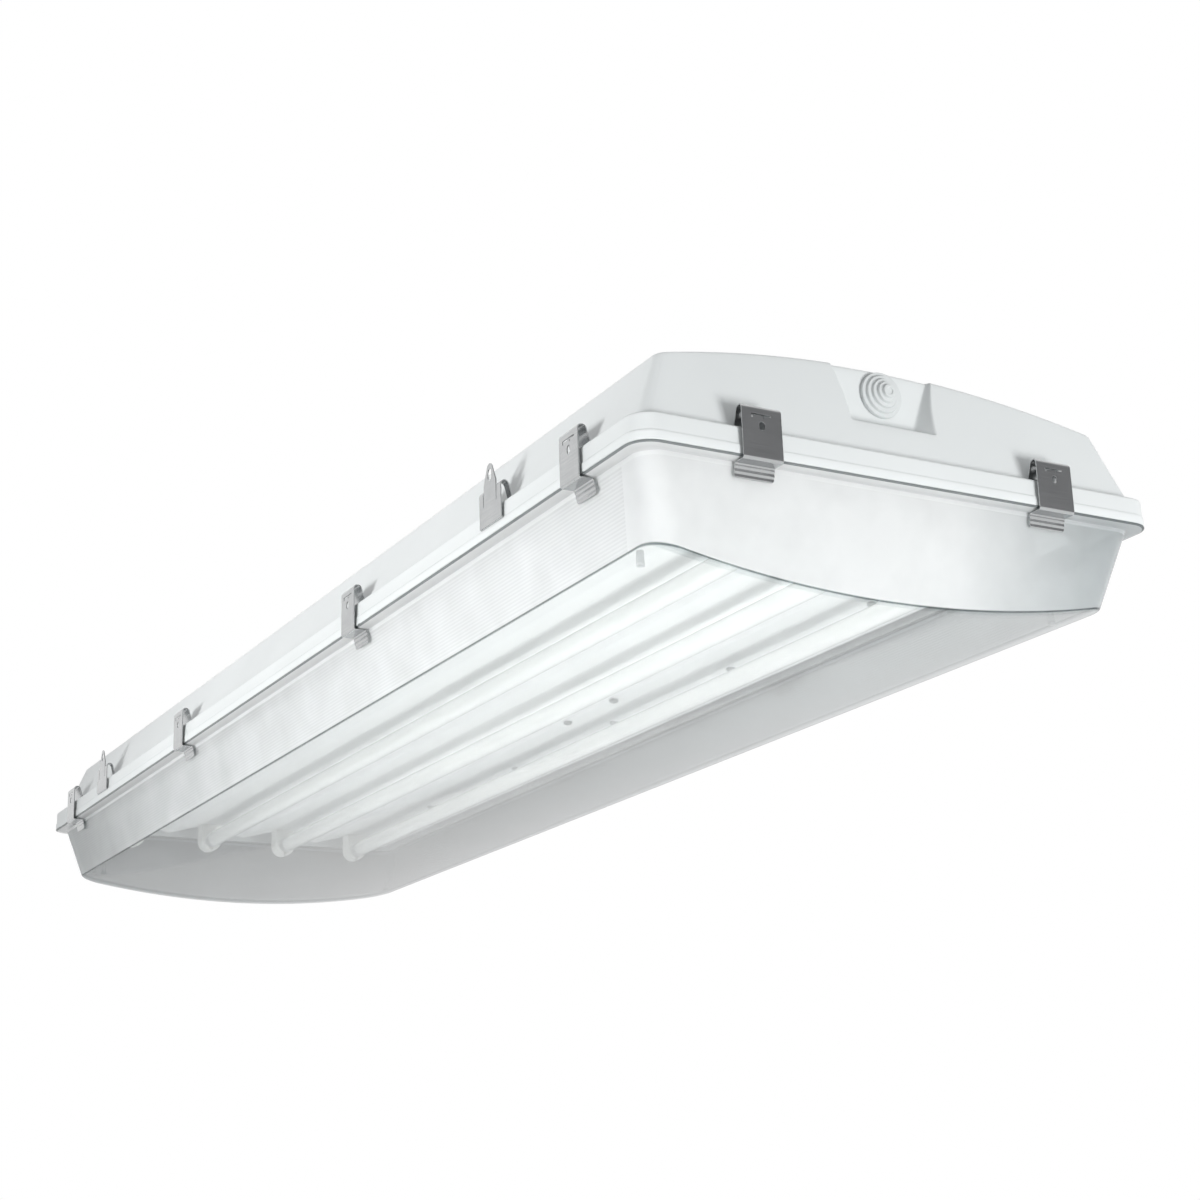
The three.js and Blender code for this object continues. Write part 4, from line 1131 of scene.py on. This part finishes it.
lamp = {
    "count": 4,
    "pitch": reflector["pitch"],
    "z": -9,
    "half": 574.5,  # half length over the caps
    "radius": 8,
    "cap": 10,
    "gap": 0.3,
    "neck": [(0, 0), (0, 6.4), (0.8, 7.6), (3, 8)],  # depth from the glass's end, and radius
    "sleeve": [(0, 0), (0, 7.7), (0.3, 8), (1.6, 8), (2.1, 7.75), (2.6, 8), (8.8, 8), (9.6, 7.7), (10, 7.1),
               (9.9, 6.6), (9.4, 6.2), (9.4, 0)],  # the same round the cap, pinched near its open end
    "pin": (1.2, 0.8, 7.1),  # radius, radius of its tip, and length outside the cap
    "pinRoot": 1,
    "pinTip": (0.5, 0.1),
    "pinOffset": 2.5,
    "evenRun": 20,  # from the glass's end to the first of its even rings
    "softHolder": 0.4,
}


def lampParts(y):
    k = lamp
    end = k["half"] - k["cap"] - k["gap"]
    profile = [(x - end, radius) for x, radius in k["neck"]]
    even = end - k["evenRun"]
    profile += [(x, k["radius"]) for x in np.linspace(-even, even, 9)]
    profile += [(-x, radius) for x, radius in profile[3::-1]]
    return turned(profile, "x", (0, y, k["z"]), 48)


def capParts(y, way):
    # rolled sleeve with an inset disc that holds the pins
    k = lamp
    base = k["half"] - k["cap"]
    radius, tipRadius, length = k["pin"]
    root, tip = k["half"] - k["pinRoot"], k["half"] + length
    long, short = k["pinTip"]
    parts = [turned([(base + x, r) for x, r in k["sleeve"]], "x", (0, y, k["z"]), 48, way)]
    pin = [(root, 0), (root, radius), (tip - long, radius), (tip - short, tipRadius), (tip, 0)]
    parts += [turned(pin, "x", (0, y + side * k["pinOffset"], k["z"]), 16, way) for side in (-1, 1)]
    return parts


for i in range(1, lamp["count"] + 1):
    y = (i - (lamp["count"] + 1) / 2) * lamp["pitch"]
    body, tube = "lamp_%d" % i, "lamp_tube_%d" % i
    addPiece("tube_%d" % i, [lampParts(y)], finish["lampGlass"], body, [tube], 40)
    for end, way in (("near", 1), ("far", -1)):
        cap, holder = "lamp_cap_%s_%d" % (end, i), "lampholder_%s_%d" % (end, i)
        addPiece(cap + "_sleeve", capParts(y, way), finish["lampCap"], body, [cap], 35)
        roundedCopy(holder, finish["lampholder"], "fixture", lamp["softHolder"])
print("lamps made")


# Grommets: stepped rubber cones in the pockets

grommet = {
    "face": housing["pocketFace"],
    "height": 72,
    "inside": -5.3,  # how far it reaches behind the face
    "grip": (12.4, 10.6, -3.3),  # its greatest and least radius, and where it is greatest
    "neck": (11, 0.3),  # radius in the wall's hole, and where the flange starts
    "flange": 16,
    "flangeTaper": 0.3,
    "thick": 2.5,
    "steps": (13, 10, 7.2, 4.6),
    "step": 2.1,
    "taper": 0.25,
    "mouth": (2.6, 2.2, 0.7),  # radius at the tip and inside it, and depth
    "gripSoft": (0, 0.5, 0.4, 0, 0),
    "flangeSoft": 0.5,
    "stepSoft": 0.45,
    "mouthSoft": (0.2, 0.2, 0),
}


def grommetPart(way):
    # stepped cone: a ring for each step, over a flange and a grip behind the wall
    k = grommet
    wide, narrow, gripAt = k["grip"]
    neck, along = k["neck"]
    mouth, hole, deep = k["mouth"]
    profile = [(k["inside"], 0), (k["inside"], narrow), (gripAt, wide), (gripAt, neck), (along, neck)]
    profile.append((along, k["flange"]))
    along += k["thick"]
    profile.append((along, k["flange"] - k["flangeTaper"]))
    for radius in k["steps"]:
        profile += [(along, radius + k["taper"]), (along + k["step"], radius - k["taper"])]
        along += k["step"]
    profile += [(along, mouth), (along - deep, hole), (along - deep, 0)]
    points = [np.array(p, float) for p in profile]
    reaches = [*k["gripSoft"], k["flangeSoft"]] + [k["stepSoft"]] * (2 * len(k["steps"]) + 1)
    soft = softRows(points, [*reaches, *k["mouthSoft"]])
    soft[:, 0] += k["face"]
    return turned(soft, "x", (0, 0, k["height"]), 64, way)


for end, way in (("near", 1), ("far", -1)):
    name = "cable_grommet_" + end
    addPiece(name + "_rubber", [grommetPart(way)], finish["grommet"], "fixture", [name], 40)
print("grommets made")


# Screws: pan heads with a crossed recess

screw = {
    "head": (0, 3, 3.4, 3.7, 3.9, 4),  # radii of the rings over the dome, even up to the second
    "domeRadius": 4.25,
    "height": 2.6,
    "shank": 2,
    "tip": 0.6,
    "point": 1,
    "length": 14,
    "cross": 0.55,  # half width of the recess's bars
    "crossReach": (1.7, 2.5),  # radii where the recess is whole and where it ends
    "crossDepth": 1.5,
    "pan": 8.2,  # height of the seat on the reflector's flats
    "blockX": (15, 99),
    "blockY": 86,
    "blockSeat": -0.3,
}


def screwPart(x, y, z):
    # the head's face is a height over (radius, angle), sunk where either of two crossing bars runs
    k = screw
    steps = 48
    centre, even, *outerRings = k["head"]
    radius = np.concatenate([np.linspace(centre, even, 13), outerRings])
    dome = k["height"] * np.sqrt(np.clip(1 - (radius / k["domeRadius"]) ** 4, 0, 1))
    angle = np.arange(steps) * 2 * pi / steps
    px, py = radius[:, None] * np.cos(angle), radius[:, None] * np.sin(angle)
    bar = np.minimum(np.abs(px), np.abs(py)) < k["cross"]
    whole, none = k["crossReach"]
    sunk = bar * np.clip((none - radius[:, None]) / (none - whole), 0, 1) * k["crossDepth"]
    rows = list(np.stack([px, py, sunk - dome[:, None]], -1))
    head, shank, end = k["head"][-1], k["shank"], k["length"]
    for r, up in ((head, 0), (shank, 0), (shank, end - k["point"]), (k["tip"], end), (0, end)):
        rows.append(np.stack([r * np.cos(angle), r * np.sin(angle), up + 0 * angle], -1))
    points, faces = shell(np.array(rows))
    return points + np.array([x, y, z]), faces


def addScrew(name, x, y, z):
    addPiece(name + "_head", [screwPart(x, y, z)], finish["screw"], "fixture", [name], 35)


for i, x in enumerate(housing["bossX"], 1):
    for row, way in (("a", -1), ("b", 1)):
        addScrew("reflector_screw_%s%d" % (row, i), x, way * housing["bossY"], screw["pan"])
for i, x in enumerate(screw["blockX"], 1):
    addScrew("terminal_block_screw_%d" % i, x, screw["blockY"], screw["blockSeat"])
print("screws made")


# Inner pieces that keep their CAD shape

kept = {"gasket": "gasket", "ballast_1": "ballast", "ballast_2": "ballast", "terminal_block": "block",
        "wiring_loom_near": "wire", "wiring_loom_far": "wire"}
for name, key in kept.items():
    for slot in nodes[name].material_slots:
        slot.material = finish[key]


# Studio: pale floor far below, even white room, soft lamps

studio = {
    "floorZ": -3.2,
    "floorHalf": 12,
    "floorColour": (0.86, 0.865, 0.865),
    "floorCloud": 0.01,
    "floorRoughness": 0.8,
    "floorShown": 0.5,
    "floorCloudScale": 1.5,
    "room": (0.56, 0.565, 0.57),  # level towards the near end
    "farRoom": (0.3, 0.305, 0.31),  # level towards the far end
    "roomRun": (0.1, 0.9),  # 0 looks straight to the far end and 1 straight to the near end
    "dark": (0.27, 0.27, 0.275),  # what gloss shows of the room high up, beyond the near end
    "darkForward": (0.1, 0.5),
    "darkUp": (0, 0.12),
}

lights = {  # place and aim in metres, size in metres, watts, and the beam in degrees
    "keyLamp": ((2.3, 0.5, -0.9), (0.6, 0, 0), (0.7, 0.7), 33, 180),
    "sideLamp": ((0.13, -2, -0.6), (0.13, -0.2, 0), (1.3, 0.8), 3, 28),
    "roofLamp": ((-1.6, 1.8, 2.6), (0, 0, 0), (2, 2), 70, 180),
    "floorLamp": ((0.3, -0.05, -1.9), (0.3, -0.05, 0), (1.6, 1), 5.3, 70),
}


def makeFloor():
    h, z = studio["floorHalf"], studio["floorZ"]
    mesh = bpy.data.meshes.new("floor")
    mesh.from_pydata([(-h, -h, z), (h, -h, z), (h, h, z), (-h, h, z)], [], [(0, 1, 2, 3)])
    floor = bpy.data.objects.new("floor", mesh)
    bpy.context.scene.collection.objects.link(floor)
    material, tree, shader, place = plainMaterial("floorPaint")
    dark, light = ([c + way * studio["floorCloud"] for c in studio["floorColour"]] for way in (-1, 1))
    cloud = noise(tree, place, studio["floorCloudScale"], 3)
    link(tree, tint(tree, cloud, dark, light), shader.inputs["Base Color"])
    shader.inputs["Roughness"].default_value = studio["floorRoughness"]
    # the floor glows faintly for gloss alone, so that metal shows it pale
    shader.inputs["Emission Color"].default_value = (1, 1, 1, 1)
    shown = times(tree, node(tree, "LightPath").outputs["Is Glossy Ray"], studio["floorShown"])
    link(tree, shown, shader.inputs["Emission Strength"])
    mesh.materials.append(material)


def addLight(name, place, aim, size, watts, beam):
    data = bpy.data.lights.new(name, "AREA")
    data.shape = "RECTANGLE"
    data.size, data.size_y = size
    data.energy = watts
    data.spread = radians(beam)
    light = bpy.data.objects.new(name, data)
    bpy.context.scene.collection.objects.link(light)
    light.location = place
    light.rotation_euler = (Vector(aim) - Vector(place)).to_track_quat("-Z", "Y").to_euler()
    light.visible_camera = False
    light.visible_glossy = False


def makeRoom():
    # white to the camera and through clear parts; a softer level lights the object, and gloss sees a dark
    # part high up
    world = bpy.data.worlds.new("room")
    bpy.context.scene.world = world
    world.use_nodes = True
    tree = world.node_tree
    wayX, wayY, wayZ = axesOf(tree, node(tree, "TexCoord").outputs["Generated"])
    background = tree.nodes["Background"]
    forward = calculate(tree, "ADD", times(tree, wayX, 0.5), 0.5)
    level = tint(tree, forward, studio["farRoom"], studio["room"], *studio["roomRun"])
    link(tree, level, background.inputs["Color"])
    white = node(tree, "Background", in_Color=(1, 1, 1, 1), in_Strength=1)
    dim = node(tree, "Background", in_Strength=1)
    ahead, up = spread(tree, wayX, 0, 1, *studio["darkForward"]), spread(tree, wayZ, 0, 1, *studio["darkUp"])
    link(tree, tint(tree, times(tree, ahead, up), (1, 1, 1), studio["dark"], 0, 1), dim.inputs["Color"])
    rays = node(tree, "LightPath").outputs
    seen = calculate(tree, "MAXIMUM", rays["Is Camera Ray"], rays["Is Transmission Ray"])
    other = mixed(tree, rays["Is Glossy Ray"], background.outputs[0], dim.outputs[0])
    shown = mixed(tree, seen, other, white.outputs[0])
    link(tree, shown, tree.nodes["World Output"].inputs["Surface"])


makeFloor()
makeRoom()
for name, settings in lights.items():
    addLight(name, *settings)
print("studio made")
